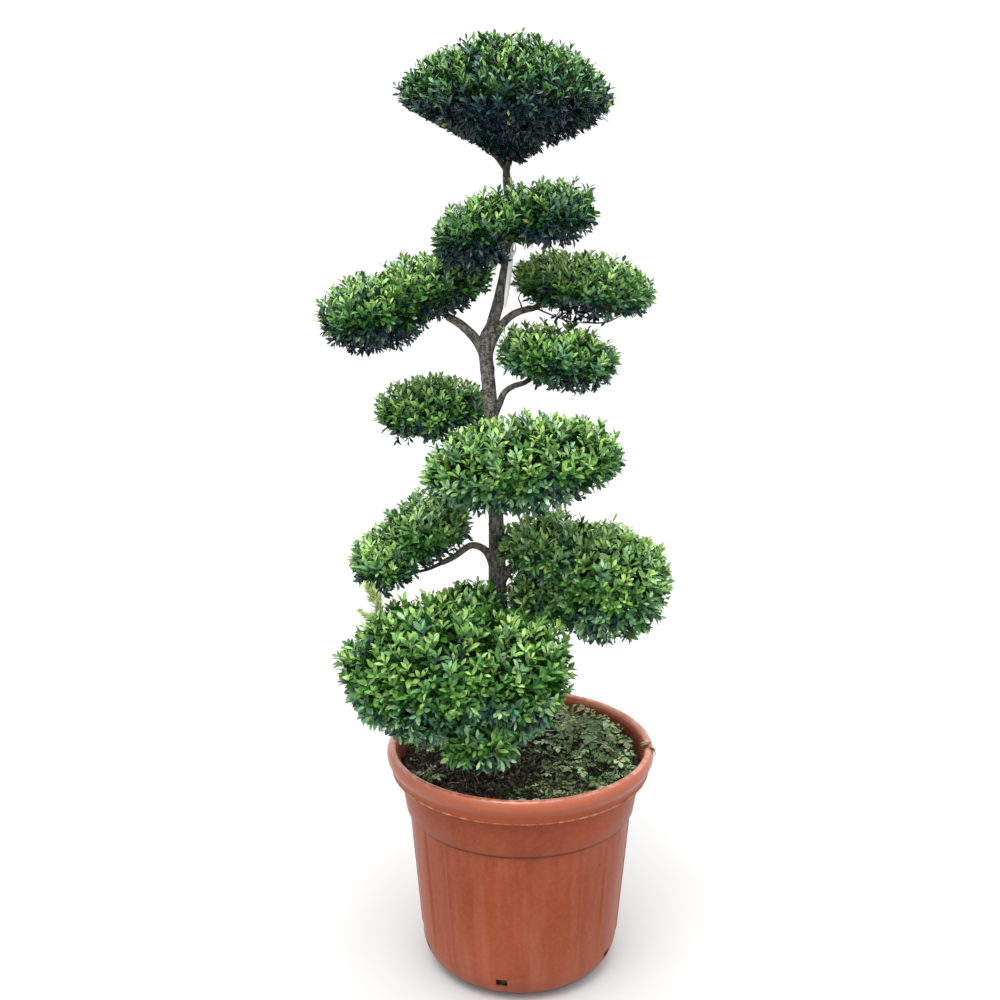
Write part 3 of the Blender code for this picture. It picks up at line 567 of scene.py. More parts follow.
# ---- Trunk and boughs --------------------------------------------------------------------
# One leaning trunk with six boughs growing out of it, in grey-brown holly bark: fine upright
# furrows, short cross marks (lenticels) and small knots where shoots were cut off. They are the
# frame that the pads of foliage sit on. Knots of their paths are (x, y, z, diameter).
TRUNK = (
    (-0.030, 0.000, 0.407, 0.060), (-0.030, 0.000, 0.415, 0.053), (-0.030, 0.000, 0.440, 0.043),
    (-0.034, 0.002, 0.500, 0.036), (-0.040, 0.004, 0.640, 0.033), (-0.043, 0.004, 0.777, 0.031),
    (-0.045, 0.000, 0.878, 0.026), (-0.050, -0.004, 0.992, 0.025), (-0.056, -0.002, 1.092, 0.0245),
    (-0.063, 0.000, 1.185, 0.0235), (-0.051, 0.002, 1.220, 0.0206), (-0.036, 0.004, 1.277, 0.0192),
    (-0.023, 0.004, 1.352, 0.0155), (-0.023, 0.002, 1.412, 0.0140), (-0.027, 0.000, 1.466, 0.0135),
)
BOUGHS = {
    "upper_left": (
        (-0.060, -0.001, 1.130, 0.016), (-0.064, -0.001, 1.160, 0.019), (-0.077, -0.001, 1.190, 0.0175),
        (-0.104, 0.000, 1.218, 0.015), (-0.129, 0.002, 1.233, 0.0135)),
    "upper_right": (
        (-0.061, 0.000, 1.150, 0.015), (-0.055, 0.001, 1.182, 0.018), (-0.040, 0.003, 1.211, 0.0155),
        (-0.021, 0.006, 1.232, 0.0130), (0.000, 0.010, 1.242, 0.0115), (0.022, 0.014, 1.246, 0.0100)),
    "mid_right": (
        (-0.054, -0.003, 1.030, 0.013), (-0.049, -0.002, 1.058, 0.0145), (-0.039, -0.002, 1.082, 0.0125),
        (-0.030, -0.003, 1.101, 0.0110), (-0.015, -0.004, 1.112, 0.0100), (0.004, -0.006, 1.118, 0.0092)),
    "mid_left": (
        (-0.052, -0.003, 0.995, 0.013), (-0.057, 0.001, 1.018, 0.0145), (-0.070, 0.013, 1.033, 0.0125),
        (-0.086, 0.028, 1.031, 0.0115), (-0.106, 0.042, 1.029, 0.0105)),
    "lower_left": (
        (-0.042, 0.004, 0.735, 0.016), (-0.047, 0.004, 0.772, 0.0185), (-0.057, 0.003, 0.801, 0.0155),
        (-0.070, 0.001, 0.816, 0.0135), (-0.0865, -0.001, 0.822, 0.0125), (-0.101, -0.003, 0.816, 0.0115),
        (-0.120, -0.005, 0.802, 0.0105), (-0.143, -0.006, 0.790, 0.0095)),
    "lower_right": (
        (-0.042, 0.004, 0.715, 0.018), (-0.036, 0.003, 0.752, 0.0200), (-0.019, 0.002, 0.777, 0.0165),
        (0.006, 0.000, 0.789, 0.0140)),
}
BARK_STEP = 0.0024
TRUNK_SIDES = 40
BOUGH_SIDES = 24
BARK_FURROW = 0.070
FURROW_SCALES = (2.6, 14)
BARK_MARK = 0.050
MARK_SCALES = (1.1, 260)
# knots in the trunk's bark: height, turn round the trunk and size
BARK_KNOTS = ((0.930, 0.4, 0.0045), (1.045, 2.6, 0.0040), (1.142, -1.1, 0.0050), (1.158, 0.9, 0.0040),
              (1.250, -2.2, 0.0035), (1.300, 0.2, 0.0035), (0.840, -2.0, 0.0050), (0.700, -1.3, 0.0055))
KNOT_SWELL = 0.22
BARK_GREY = (0.175, 0.162, 0.135)
BARK_BROWN = (0.046, 0.040, 0.032)
BARK_DARK = (0.014, 0.012, 0.010)
BARK_LICHEN = (0.300, 0.300, 0.250)
BARK_STREAKS = {"scale": 190.0, "stretch": (1, 1, 0.45), "detail": 6.0, "low": 0.43, "high": 0.58}
CROSS_MARKS = {"scale": 230.0, "stretch": (0.5, 0.5, 1.4), "detail": 3.0, "low": 0.55, "high": 0.62}
LICHEN_DOTS = {"scale": 330.0, "detail": 2.0, "low": 0.58, "high": 0.66}
# painted shade: the bark darkens between these heights, towards the foot of the trunk
SHADED_BARK_HEIGHTS = (0.90, 0.55)
MARK_SHARE = 0.85
LICHEN_SHARE = 0.60
BARK_SHADE_SHARE = 0.68
BARK_ROUGHNESS = 0.82
BARK_GRAIN = (330.0, 6.0, 0.0012)


def smooth_path(knots, step):
    """Points of (x, y, z, diameter) on a Catmull-Rom curve through the knots."""
    knots = np.array(knots)
    knots = np.vstack([2 * knots[0] - knots[1], knots, 2 * knots[-1] - knots[-2]])
    path = []
    for before, start, end, after in zip(knots, knots[1:], knots[2:], knots[3:]):
        steps = max(2, round(np.linalg.norm((end - start)[:3]) / step))
        t = (np.arange(steps) / steps)[:, None]
        path.append(0.5 * (2 * start + (end - before) * t
                           + (2 * before - 5 * start + 4 * end - after) * t ** 2
                           + (3 * start - before - 3 * end + after) * t ** 3))
    return np.vstack(path + [knots[-2:-1]])


def bark_limb(path, sides, seed, knots=()):
    """Points and faces of one limb with its bark's relief."""
    places, radii = path[:, :3], path[:, 3] / 2
    points, faces = tubes(places[None], np.ones((1, len(path))), sides)
    outward = points.reshape(len(path), sides, 3) - places[:, None]
    turn = np.arange(sides) * 2 * pi / sides
    run = np.concatenate([[0], np.cumsum(np.linalg.norm(np.diff(places, axis=0), axis=1))])
    ring = np.stack([np.cos(turn), np.sin(turn)], axis=-1)
    shape = (len(path), sides)

    def grooves(scales, seed, detail):
        """Random heights that vary round the limb and up it, each at its own scale."""
        round_limb = np.broadcast_to(ring * scales[0], (*shape, 2))
        up_limb = np.broadcast_to(run[:, None, None] * scales[1], (*shape, 1))
        at = np.concatenate([round_limb, up_limb], axis=-1).reshape(-1, 3)
        return lumps(at, 1.0, seed, detail).reshape(shape)

    swell = 1 + BARK_FURROW * grooves(FURROW_SCALES, seed, 5)
    swell += BARK_MARK * np.maximum(grooves(MARK_SCALES, seed + 5, 2), 0)
    for height, way, size in knots:
        lift = (places[:, 2] - height)[:, None] / size
        side = np.abs((turn - way + pi) % (2 * pi) - pi)[None] * radii[:, None] / size
        swell += KNOT_SWELL * np.exp(-lift ** 2 - side ** 2)
    points = places[:, None] + outward * (radii[:, None] * swell)[..., None]
    caps = np.array([places[0], places[-1]])
    count = len(path) * sides
    ends = []
    for centre, first, flip in ((count, 0, -1), (count + 1, count - sides, 1)):
        here = first + np.arange(sides)
        ends.append(np.column_stack([np.full(sides, centre), here, np.roll(here, -1)])[:, ::flip])
    return np.vstack([points.reshape(-1, 3), caps]), faces, np.vstack(ends)


def bark_material():
    """Bark: grey on brown in upright streaks, dark marks across, dots of lichen, and painted shade lower
    down.
    """
    look = new_material("holly bark", BARK_ROUGHNESS)
    tree = look[1]
    colour = blended(tree, cloud(tree, **BARK_STREAKS), BARK_BROWN, BARK_GREY)
    # the last of these is painted shade, which darkens the lower part of the trunk
    for share, amount, tone in ((cloud(tree, **CROSS_MARKS), MARK_SHARE, BARK_DARK),
                                (cloud(tree, **LICHEN_DOTS), LICHEN_SHARE, BARK_LICHEN),
                                (height_share(tree, *SHADED_BARK_HEIGHTS), BARK_SHADE_SHARE, BARK_DARK)):
        colour = blended(tree, product(tree, share, amount), colour, tone)
    return finished(colour, BARK_GRAIN, look, (1, 1, 0.5))


bark = bark_material()
limbs = {"trunk": smooth_path(TRUNK, BARK_STEP)}
limbs.update({name: smooth_path(knots, BARK_STEP) for name, knots in BOUGHS.items()})
for number, (name, path) in enumerate(limbs.items()):
    is_trunk = name == "trunk"
    sides = TRUNK_SIDES if is_trunk else BOUGH_SIDES
    points, quads, ends = bark_limb(path, sides, number, BARK_KNOTS if is_trunk else ())
    wood = piece_of("wood_" + name, points, [quads, ends], [bark])
    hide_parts(*[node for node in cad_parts
                        if node == name or node.startswith("bough_" + name)])

# ---- Foliage: the space each pad keeps ---------------------------------------------------
# Ten pads of small holly leaves, clipped into cushions. A pad is one or more round lobes that
# run into each other; shears keep every shoot inside them.

# Lobes are (x, y, z), half widths along x and y, rise above and drop below the centre, tilt in
# degrees (right side up), and the roundness power of the upper and the lower half.
PADS = {
    "crown": (
        ((-0.031, 0.000, 1.584), (0.178, 0.170), (0.110, 0.084), 1, (1.85, 1.50)),
        ((-0.022, 0.000, 1.522), (0.050, 0.050), (0.030, 0.040), 0, (2.0, 1.5)),
    ),
    "upper_front": (
        ((0.038, -0.062, 1.408), (0.083, 0.082), (0.054, 0.052), 6, (2.4, 2.3)),
        ((-0.071, -0.080, 1.377), (0.080, 0.078), (0.057, 0.056), 12, (2.6, 2.3)),
        ((-0.027, -0.078, 1.399), (0.054, 0.048), (0.047, 0.043), 0, (2.2, 2.2)),
    ),
    "upper_left": (
        ((-0.160, 0.022, 1.278), (0.108, 0.100), (0.063, 0.054), 15, (2.3, 2.1)),
        ((-0.249, 0.000, 1.240), (0.102, 0.100), (0.071, 0.067), 14, (2.1, 2.0)),
    ),
    "upper_right": (
        ((0.104, 0.024, 1.283), (0.123, 0.112), (0.058, 0.058), -9, (2.6, 2.3)),
    ),
    "mid_right": (
        ((0.062, -0.020, 1.165), (0.104, 0.095), (0.055, 0.053), -8, (2.6, 2.7)),
    ),
    "mid_left": (
        ((-0.162, 0.062, 1.055), (0.101, 0.088), (0.067, 0.048), 6, (2.0, 2.8)),
    ),
    "centre": (
        ((0.000, -0.110, 0.996), (0.166, 0.118), (0.084, 0.082), 7, (2.0, 1.8)),
    ),
    "lower_left": (
        ((-0.170, 0.000, 0.847), (0.086, 0.095), (0.065, 0.050), 22, (2.2, 2.3)),
        ((-0.241, -0.010, 0.794), (0.066, 0.092), (0.056, 0.050), 20, (2.2, 2.2)),
    ),
    "lower_right": (
        ((0.057, -0.005, 0.822), (0.100, 0.100), (0.058, 0.060), -5, (2.3, 2.3)),
        ((0.150, -0.020, 0.762), (0.116, 0.110), (0.106, 0.110), -16, (2.0, 2.2)),
        ((0.040, 0.000, 0.722), (0.080, 0.064), (0.062, 0.062), 0, (2.3, 2.3)),
    ),
    "base": (
        ((-0.156, -0.130, 0.638), (0.158, 0.145), (0.118, 0.127), 8, (2.3, 1.9)),
        ((-0.030, -0.132, 0.630), (0.117, 0.115), (0.098, 0.118), 0, (2.2, 2.0)),
        ((-0.076, -0.165, 0.528), (0.072, 0.072), (0.061, 0.059), 0, (2.1, 2.1)),
        ((-0.090, -0.060, 0.735), (0.052, 0.050), (0.032, 0.040), 0, (2.1, 2.1)),
    ),
}
# Each pad's stem: its foot on the bough's tip or the trunk, its end diameters, and how high up
# in the lobe it forks, from 0 at the foot to 1 at the lobe's centre.
STEMS = {
    "crown": ((-0.027, 0.000, 1.4663), (0.0135, 0.0120), 0.10),
    "upper_front": ((-0.023, 0.004, 1.365), (0.012, 0.008), 0.75),
    "upper_left": ((-0.1292, 0.002, 1.2331), (0.0130, 0.009), 0.50),
    "upper_right": ((0.0223, 0.014, 1.2461), (0.0100, 0.007), 0.55),
    "mid_right": ((0.0043, -0.006, 1.1181), (0.0092, 0.007), 0.60),
    "mid_left": ((-0.1062, 0.0421, 1.029), (0.0105, 0.007), 0.60),
    "centre": ((-0.047, -0.002, 0.935), (0.012, 0.009), 0.75),
    "lower_left": ((-0.1433, -0.006, 0.7899), (0.0095, 0.007), 0.55),
    "lower_right": ((0.0063, 0.000, 0.7892), (0.0140, 0.010), 0.60),
    "base": ((-0.037, 0.003, 0.560), (0.018, 0.012), 0.80),
}
# A cut is a point on a plane and the way that it faces, towards the leaves that the shears took off.
CUTS = {"crown": ((-0.043, 0.000, 1.4947), (-0.472, 0.000, -0.882))}
# the foliage leaves room round the line of sight to the label: start, end and radius
LABEL_CLEARING = ((-0.0160, -0.020, 1.346), (-0.0176, -0.170, 1.3550), 0.0128)
# wood keeps this far inside a cut, which fades in between these distances from the stem's foot
CUT_MARGIN = 0.004
CUT_FADES = (0.006, 0.030)
LIMB_ROOM = 0.0015
SOIL_ROOM = 0.006
RIM_ROOM = 0.003
STRAY = 0.014


def tilt_of(lobe):
    """The rotation that tilts a lobe, its right side up."""
    turn = -radians(lobe[3])
    return np.array([(cos(turn), 0, sin(turn)), (0, 1, 0), (-sin(turn), 0, cos(turn))])


def half_of(lobe, up):
    """Height and roundness power of the upper or the lower half, for each place."""
    return np.where(up, lobe[2][0], lobe[2][1]), np.where(up, lobe[4][0], lobe[4][1])


def lobe_point(lobe, directions, depth):
    """The points in given directions that lie a depth below the lobe's surface."""
    height, power = half_of(lobe, directions[:, 2] > 0)
    flat = np.hypot(directions[:, 0], directions[:, 1])
    reach = (flat ** power + np.abs(directions[:, 2]) ** power) ** (-1 / power)
    half = np.column_stack([lobe[1][0] - depth + 0 * flat, lobe[1][1] - depth + 0 * flat, height - depth])
    return np.array(lobe[0]) + (directions * np.maximum(half, 0.004) * reach[:, None]) @ tilt_of(lobe).T


def lobe_square(lobe, directions):
    """The way square to the lobe's surface in given directions."""
    height, _ = half_of(lobe, directions[:, 2] > 0)
    square = directions / np.column_stack([lobe[1][0] + 0 * height, lobe[1][1] + 0 * height, height])
    return (square / np.linalg.norm(square, axis=1, keepdims=True)) @ tilt_of(lobe).T


def lobe_share(lobe, places):
    """How far out places lie: 0 at the lobe's centre, 1 on its surface."""
    offset = (places - np.array(lobe[0])) @ tilt_of(lobe)
    height, power = half_of(lobe, offset[:, 2] > 0)
    flat = np.hypot(offset[:, 0] / lobe[1][0], offset[:, 1] / lobe[1][1])
    return (flat ** power + (np.abs(offset[:, 2]) / height) ** power) ** (1 / power)


def pad_share(pad, places):
    """How far out places lie in the pad's nearest lobe: 1 on the pad's surface."""
    return np.min([lobe_share(lobe, places) for lobe in PADS[pad]], axis=0)


def lobe_area(lobe):
    """Roughly the surface of a lobe, by Thomsen's rule for an ellipsoid."""
    half_x, half_y, half_z = lobe[1][0], lobe[1][1], sum(lobe[2]) / 2
    power = 1.6
    faces = ((half_x * half_y) ** power, (half_x * half_z) ** power, (half_y * half_z) ** power)
    return 4 * pi * (sum(faces) / 3) ** (1 / power)


def even_directions(count, jitter, rng):
    """Directions spread evenly over a sphere, each moved a little at random."""
    number = np.arange(count)
    z = 1 - (2 * number + 1) / count
    flat = np.sqrt(1 - z * z)
    around = pi * (3 - sqrt(5)) * number
    ways = np.column_stack([flat * np.cos(around), flat * np.sin(around), z])
    ways += rng.normal(0, jitter, (count, 3))
    return ways / np.linalg.norm(ways, axis=1, keepdims=True)


def limb_distance(places):
    """Distance from places to the nearest bark of trunk or boughs."""
    nearest = np.full(len(places), 9.0)
    for path in limbs.values():
        for point in path[::4]:
            gap = np.linalg.norm(places - point[:3], axis=1) - point[3] / 2
            nearest = np.minimum(nearest, gap)
    return nearest


def trimmed(pad, places, inside=CUT_MARGIN):
    """Places of wood, moved back inside where the shears cut a pad off flat."""
    if pad in CUTS:
        point, way = np.array(CUTS[pad])
        away = np.linalg.norm(places[..., :2] - np.array(STEMS[pad][0])[:2], axis=-1)
        beyond = np.maximum((places - point) @ way + inside, 0) * smooth_step(away, *CUT_FADES)
        places = places - beyond[..., None] * way
    return places


def is_free(pad, places):
    """True where a leaf of this pad may lie: in its own space, and clear of all the rest."""
    lobes = PADS[pad]
    reach = min(min(lobe[2]) for lobe in lobes)
    free = pad_share(pad, places) < 1 + STRAY / reach
    for other in PADS:
        if other != pad:
            free &= pad_share(other, places) > 1
    radius = np.hypot(places[:, 0], places[:, 1])
    if pad in CUTS:
        point, way = np.array(CUTS[pad])
        free &= (places - point) @ way < 0
    start, end, room = LABEL_CLEARING
    start, end = np.array(start), np.array(end)
    share = ((places - start) @ (end - start) / np.sum((end - start) ** 2)).clip(0, 1)
    free &= np.linalg.norm(places - start - share[:, None] * (end - start), axis=1) > room
    in_rim = (places[:, 2] < POT_HEIGHT + RIM_ROOM) & (radius > RIM_RADIUS - RIM_WIDTH - RIM_ROOM)
    free &= ~in_rim & (places[:, 2] > SOIL_TOP + SOIL_ROOM)
    return free & (limb_distance(places) > LIMB_ROOM)


# ---- Foliage: twigs ----------------------------------------------------------------------
# Inside each pad the stem forks into branches that spread low and turn up at their ends, and
# from the nearest branch a twig runs to the foot of every shoot.
LIMBS_PER_LOBE = 3
LIMB_RISES = (0.1, 0.5)
LIMB_REACH = (0.34, 0.46)
LIMB_BOWS = {"crown": 0.010}
LIMB_GIRTHS = (0.0050, 0.0030)
LOBE_LIMB = (0.0032, (0, 0, -0.010))
BRANCHES_PER_SQUARE_METRE = 40
BRANCHES_AT_LEAST = 6
BRANCH_RISES = (-0.25, 0.30)
BRANCH_REACH = (0.50, 0.72)
BRANCH_SAGS = (-0.010, 0.002)
BRANCH_GIRTHS = (0.0030, 0.0014)
BRANCH_STATIONS = 7
SIDE_BRANCHES = 4
SIDE_REACH = (0.35, 0.60)
SIDE_GIRTHS = (0.0018, 0.0010)
TWIG_STATIONS = 3
TWIG_GIRTHS = (0.0011, 0.0008)
SHOOT_GIRTHS = (0.0008, 0.0005)
SHOOT_SPACINGS = {"crown": 0.0158, "upper_front": 0.0163, "upper_left": 0.0165, "upper_right": 0.0165,
                  "mid_right": 0.0163, "mid_left": 0.0163, "centre": 0.0184, "lower_left": 0.0175,
                  "lower_right": 0.0184, "base": 0.0217}
SHOOT_LENGTHS = (0.036, 0.054)
SHOOT_TIP_DEPTH = (0.0080, 0.0045)
SURFACE_LUMP = 0.055
HOLLOWS = {"centre": 0.018, "lower_left": 0.020, "lower_right": 0.024, "base": 0.020}
PLAIN_HOLLOWS = 0.015
# share of shoots that stand out of the clipped surface, and how far
LONG_SHOOTS = (0.07, 0.011)
SHOOTS_RISE = 0.85
SHOOTS_FACING = (-0.7, 0.1)
SHOOTS_LOWEST = -0.35
SHOOTS_STRAY = 0.16
UNDERSIDE_FULLNESS = {"crown": 1.0, "upper_front": 0.95, "upper_left": 0.85, "upper_right": 0.36,
                      "mid_left": 0.60, "lower_left": 0.55, "base": 0.85}
PLAIN_FULLNESS = 0.70
# twigs that show bare under a pad, from the branch they leave to their tips
BARE_TWIGS = {
    "upper_right": (
        ((0.022, 0.014, 1.247), (0.052, 0.012, 1.234), (0.087, 0.010, 1.222), (0.106, 0.010, 1.222)),
        ((0.106, 0.010, 1.222), (0.135, 0.008, 1.221), (0.158, 0.006, 1.227), (0.190, 0.006, 1.246)),
        ((0.087, 0.010, 1.222), (0.100, 0.012, 1.230), (0.112, 0.014, 1.239), (0.128, 0.016, 1.251)),
        ((0.115, 0.010, 1.223), (0.128, 0.004, 1.236), (0.136, 0.000, 1.245), (0.142, -0.004, 1.256)),
        ((0.070, 0.011, 1.228), (0.078, 0.010, 1.222), (0.080, 0.010, 1.216), (0.079, 0.010, 1.209)),
        ((0.150, 0.010, 1.231), (0.152, 0.020, 1.240), (0.160, 0.028, 1.250), (0.166, 0.034, 1.262)),
        ((0.000, 0.010, 1.242), (-0.002, 0.012, 1.254), (-0.006, 0.014, 1.262), (-0.002, 0.016, 1.274)),
    ),
    "mid_left": (
        ((-0.106, 0.042, 1.029), (-0.124, 0.044, 1.018), (-0.150, 0.046, 1.017), (-0.176, 0.048, 1.026)),
        ((-0.124, 0.044, 1.018), (-0.132, 0.042, 1.026), (-0.142, 0.040, 1.034), (-0.150, 0.038, 1.042)),
    ),
    "centre": (
        ((-0.040, -0.020, 0.932), (-0.022, -0.045, 0.902), (-0.004, -0.052, 0.896), (0.014, -0.058, 0.918)),
        ((-0.044, -0.015, 0.928), (-0.060, -0.035, 0.906), (-0.076, -0.045, 0.906), (-0.092, -0.050, 0.924)),
    ),
    "lower_left": (
        ((-0.143, -0.006, 0.790), (-0.168, -0.012, 0.780), (-0.190, -0.016, 0.775), (-0.212, -0.018, 0.762)),
        ((-0.168, -0.012, 0.780), (-0.176, -0.014, 0.788), (-0.186, -0.016, 0.797), (-0.192, -0.018, 0.806)),
        ((-0.190, -0.016, 0.775), (-0.204, -0.022, 0.776), (-0.218, -0.026, 0.782), (-0.230, -0.028, 0.792)),
    ),
}
BARE_GIRTHS = {"lower_left": (0.0038, 0.0014)}
PLAIN_BARE_GIRTHS = (0.0019, 0.0007)
LOBE_JOIN = 0.80
TWIG_BROWN = (0.060, 0.054, 0.040)
TWIG_DARK = (0.020, 0.017, 0.013)
TWIG_ROUGHNESS = 0.80
TWIG_GRAIN = (500.0, 3.0, 0.0005)


def bent(start, end, sag, stations):
    """Paths from start to end points that bow by a sag vector, as (paths, stations, 3)."""
    t = np.linspace(0, 1, stations)[None, :, None]
    return start[:, None] * (1 - t) + end[:, None] * t + sag[:, None] * 4 * t * (1 - t)


def taper(count, stations, thick, thin):
    """Radii that go from thick to thin along each of a number of paths."""
    return np.repeat(np.linspace(thick, thin, stations)[None], count, axis=0)


def outward_ways(count, low, high, rng):
    """Directions spread round the compass that rise or fall a little."""
    turns = 2 * pi * (np.arange(count) + rng.uniform(0.2, 0.8, count)) / count
    ways = np.column_stack([np.cos(turns), np.sin(turns), rng.uniform(low, high, count)])
    return ways / np.linalg.norm(ways, axis=1, keepdims=True)


def branch_paths(pad, lobe, fork, rng):
    """Limbs, main branches and side branches of a lobe, out from where its stem forks."""
    ends = lobe_point(lobe, outward_ways(LIMBS_PER_LOBE, *LIMB_RISES, rng), 0.0)
    ends = fork + (ends - fork) * rng.uniform(*LIMB_REACH, (LIMBS_PER_LOBE, 1))
    bows = np.column_stack([rng.normal(0, 0.003, (LIMBS_PER_LOBE, 2)),
                            np.full(LIMBS_PER_LOBE, LIMB_BOWS.get(pad, 0.0))])
    inner = bent(np.repeat(fork[None], LIMBS_PER_LOBE, axis=0), ends, bows, BRANCH_STATIONS)
    count = max(BRANCHES_AT_LEAST, round(lobe_area(lobe) * BRANCHES_PER_SQUARE_METRE))
    ends = lobe_point(lobe, outward_ways(count, *BRANCH_RISES, rng), 0.0)
    nodes = inner[:, BRANCH_STATIONS // 2:].reshape(-1, 3)
    starts = nodes[np.argmin(np.linalg.norm(ends[:, None] - nodes[None], axis=-1), axis=1)]
    ends = starts + (ends - starts) * rng.uniform(*BRANCH_REACH, (count, 1))
    sags = np.column_stack([rng.normal(0, 0.005, (count, 2)), rng.uniform(*BRANCH_SAGS, count)])
    mains = bent(starts, ends, sags, BRANCH_STATIONS)
    sides = []
    for main in mains:
        starts = main[rng.integers(2, BRANCH_STATIONS - 1, SIDE_BRANCHES)]
        tips = lobe_point(lobe, even_directions(SIDE_BRANCHES * 3, 0.6, rng), 0.0)
        near = np.argsort(np.linalg.norm(tips - main[-1], axis=1))[:SIDE_BRANCHES]
        reach = starts + (tips[near] - starts) * rng.uniform(*SIDE_REACH, (SIDE_BRANCHES, 1))
        sides.append(bent(starts, reach, rng.normal(0, 0.004, (SIDE_BRANCHES, 3)), BRANCH_STATIONS))
    return [trimmed(pad, paths) for paths in (inner, mains, np.concatenate(sides))]


def lobe_shoots(pad, lobe, rng):
    """Foot and tip of each leafy shoot of a lobe, and how much its foot faces up."""
    count = round(lobe_area(lobe) / SHOOT_SPACINGS[pad] ** 2)
    ways = even_directions(count, 0.05, rng)
    square = lobe_square(lobe, ways)
    thinned = 1 - UNDERSIDE_FULLNESS.get(pad, PLAIN_FULLNESS)
    dense = rng.random(count) < 1 - thinned * smooth_step(-square[:, 2], 0.1, 0.9)
    ways, square, count = ways[dense], square[dense], dense.sum()
    hollow = HOLLOWS.get(pad, PLAIN_HOLLOWS) * lumps(lobe_point(lobe, ways, 0.0), SURFACE_LUMP, 8, detail=2)
    long = LONG_SHOOTS[1] * (rng.random(count) < LONG_SHOOTS[0]) * (square[:, 2] > 0.2)
    depth = (rng.normal(*SHOOT_TIP_DEPTH, count) + hollow).clip(0.001) - long
    tips = lobe_point(lobe, ways, depth)
    rise = SHOOTS_RISE * smooth_step(square[:, 2], *SHOOTS_FACING)
    axis = square + np.outer(rise, (0, 0, 1))
    axis[:, 2] = np.maximum(axis[:, 2], SHOOTS_LOWEST)
    axis += rng.normal(0, SHOOTS_STRAY, (count, 3))
    axis /= np.linalg.norm(axis, axis=1, keepdims=True)
    feet = tips - axis * rng.uniform(*SHOOT_LENGTHS, (count, 1))
    feet = trimmed(pad, feet)
    kept = is_free(pad, tips) & (pad_share(pad, feet) < 1)
    for other in PADS[pad]:
        if other is not lobe:
            kept &= lobe_share(other, tips) > LOBE_JOIN
    return feet[kept], tips[kept], square[kept, 2]


def nearest_nodes(feet, nodes, fork):
    """For each shoot's foot, the branch point from which a twig reaches it most directly."""
    gap = np.linalg.norm(feet[:, None] - nodes[None], axis=-1)
    further = np.linalg.norm(nodes - fork, axis=1)[None] - np.linalg.norm(feet - fork, axis=1)[:, None]
    return nodes[np.argmin(gap + 2 * np.maximum(further, 0), axis=1)]


def twig_material():
    """Thin brown bark."""
    look = new_material("twig bark", TWIG_ROUGHNESS)
    colour = blended(look[1], cloud(look[1], 180.0, detail=3.0), TWIG_DARK, TWIG_BROWN)
    return finished(colour, TWIG_GRAIN, look)


# ---- Foliage: leaves ---------------------------------------------------------------------
# Small leathery leaves, blunt and widest past the middle, set in a spiral up each shoot. Old
# ones deep inside are dark bluish green; those at the shoots' tips are young, bright and glossy.
# Shoots that face the sky take lighter greens as painted light, and those that face the ground
# darker, cooler greens as painted shade.
LEAF_SIZES = {"crown": (0.0186, 0.35), "upper_front": (0.0196, 0.37), "upper_left": (0.0196, 0.37),
              "upper_right": (0.0194, 0.37), "mid_right": (0.0194, 0.37), "mid_left": (0.0200, 0.38),
              "centre": (0.0228, 0.38), "lower_left": (0.0216, 0.38), "lower_right": (0.0224, 0.38),
              "base": (0.0262, 0.36)}
LEAVES_PER_SHOOT = 10
LEAF_STATIONS = (0.30, 0.58, 0.82)
LEAF_BREADTHS = (0.62, 1.00, 0.66)
LEAF_FOLDS = (0.12, 0.55)
LEAF_CURLS = (-0.05, 0.22)
# how far a leaf leans off its shoot in degrees, low and high on it, and how much that varies
LEAF_LEANS = (68.0, 31.0)
LEAN_SPREAD = 9.0
LEAF_CROWDING = 0.65
LEAF_TWIST = 0.30
LEAF_ROUGHNESS = 0.31
LEAF_GRAIN = (700.0, 2.0, 0.0003)
LEAF_MOTTLE = (0.72, 1.30)
INNER_PER_SQUARE_METRE = {"lower_left": 3500, "lower_right": 3500}
PLAIN_INNER = 7000
INNER_DEPTHS = (0.022, 0.046)
INNER_MARGIN = 0.02
GOLDEN_TURN = radians(137.5)
LEAF_SHINE = 0.45
DULL_LEAVES = {"old": 0.15, "deep": 0.30}
WARM_GREENS = {
    "old": (0.006, 0.038, 0.004),
    "deep": (0.016, 0.084, 0.010),
    "mid": (0.038, 0.142, 0.020),
    "bright": (0.088, 0.222, 0.042),
    "young": (0.165, 0.335, 0.072),
    "lime": (0.282, 0.450, 0.122),
}
COOL_GREENS = {
    "cool_old": (0.004, 0.021, 0.028),
    "cool_deep": (0.013, 0.054, 0.041),
    "cool_mid": (0.031, 0.110, 0.048),
    "cool_bright": (0.072, 0.190, 0.080),
    "cool_young": (0.155, 0.315, 0.140),
    "cool_pale": (0.265, 0.440, 0.210),
}
ODD_LEAVES = {"yellow": (0.280, 0.300, 0.070), "tan": (0.190, 0.125, 0.070)}
ODD_SHARES = {"yellow": 0.0008, "tan": 0.0006}
GREENS = {**WARM_GREENS, **COOL_GREENS, **ODD_LEAVES}
TONES = list(GREENS)
# how far a pad's shoots are up the list of greens, how much more where they face the sky (painted
# light: lighter greens on top, darker ones below), and the share of them that is cool; those that
# face the ground are all cool, as painted shade
PAD_TONES = {"crown": (1.00, 2.10, 0.20), "upper_front": (1.95, 1.80, 0.38),
             "upper_left": (2.40, 2.10, 0.22), "upper_right": (2.70, 1.95, 0.06),
             "mid_right": (2.90, 1.60, 0.26), "mid_left": (3.05, 1.30, 0.12),
             "centre": (3.42, 1.10, 0.21), "lower_left": (3.00, 1.50, 0.24),
             "lower_right": (3.60, 1.00, 0.25), "base": (3.20, 0.60, 0.12)}
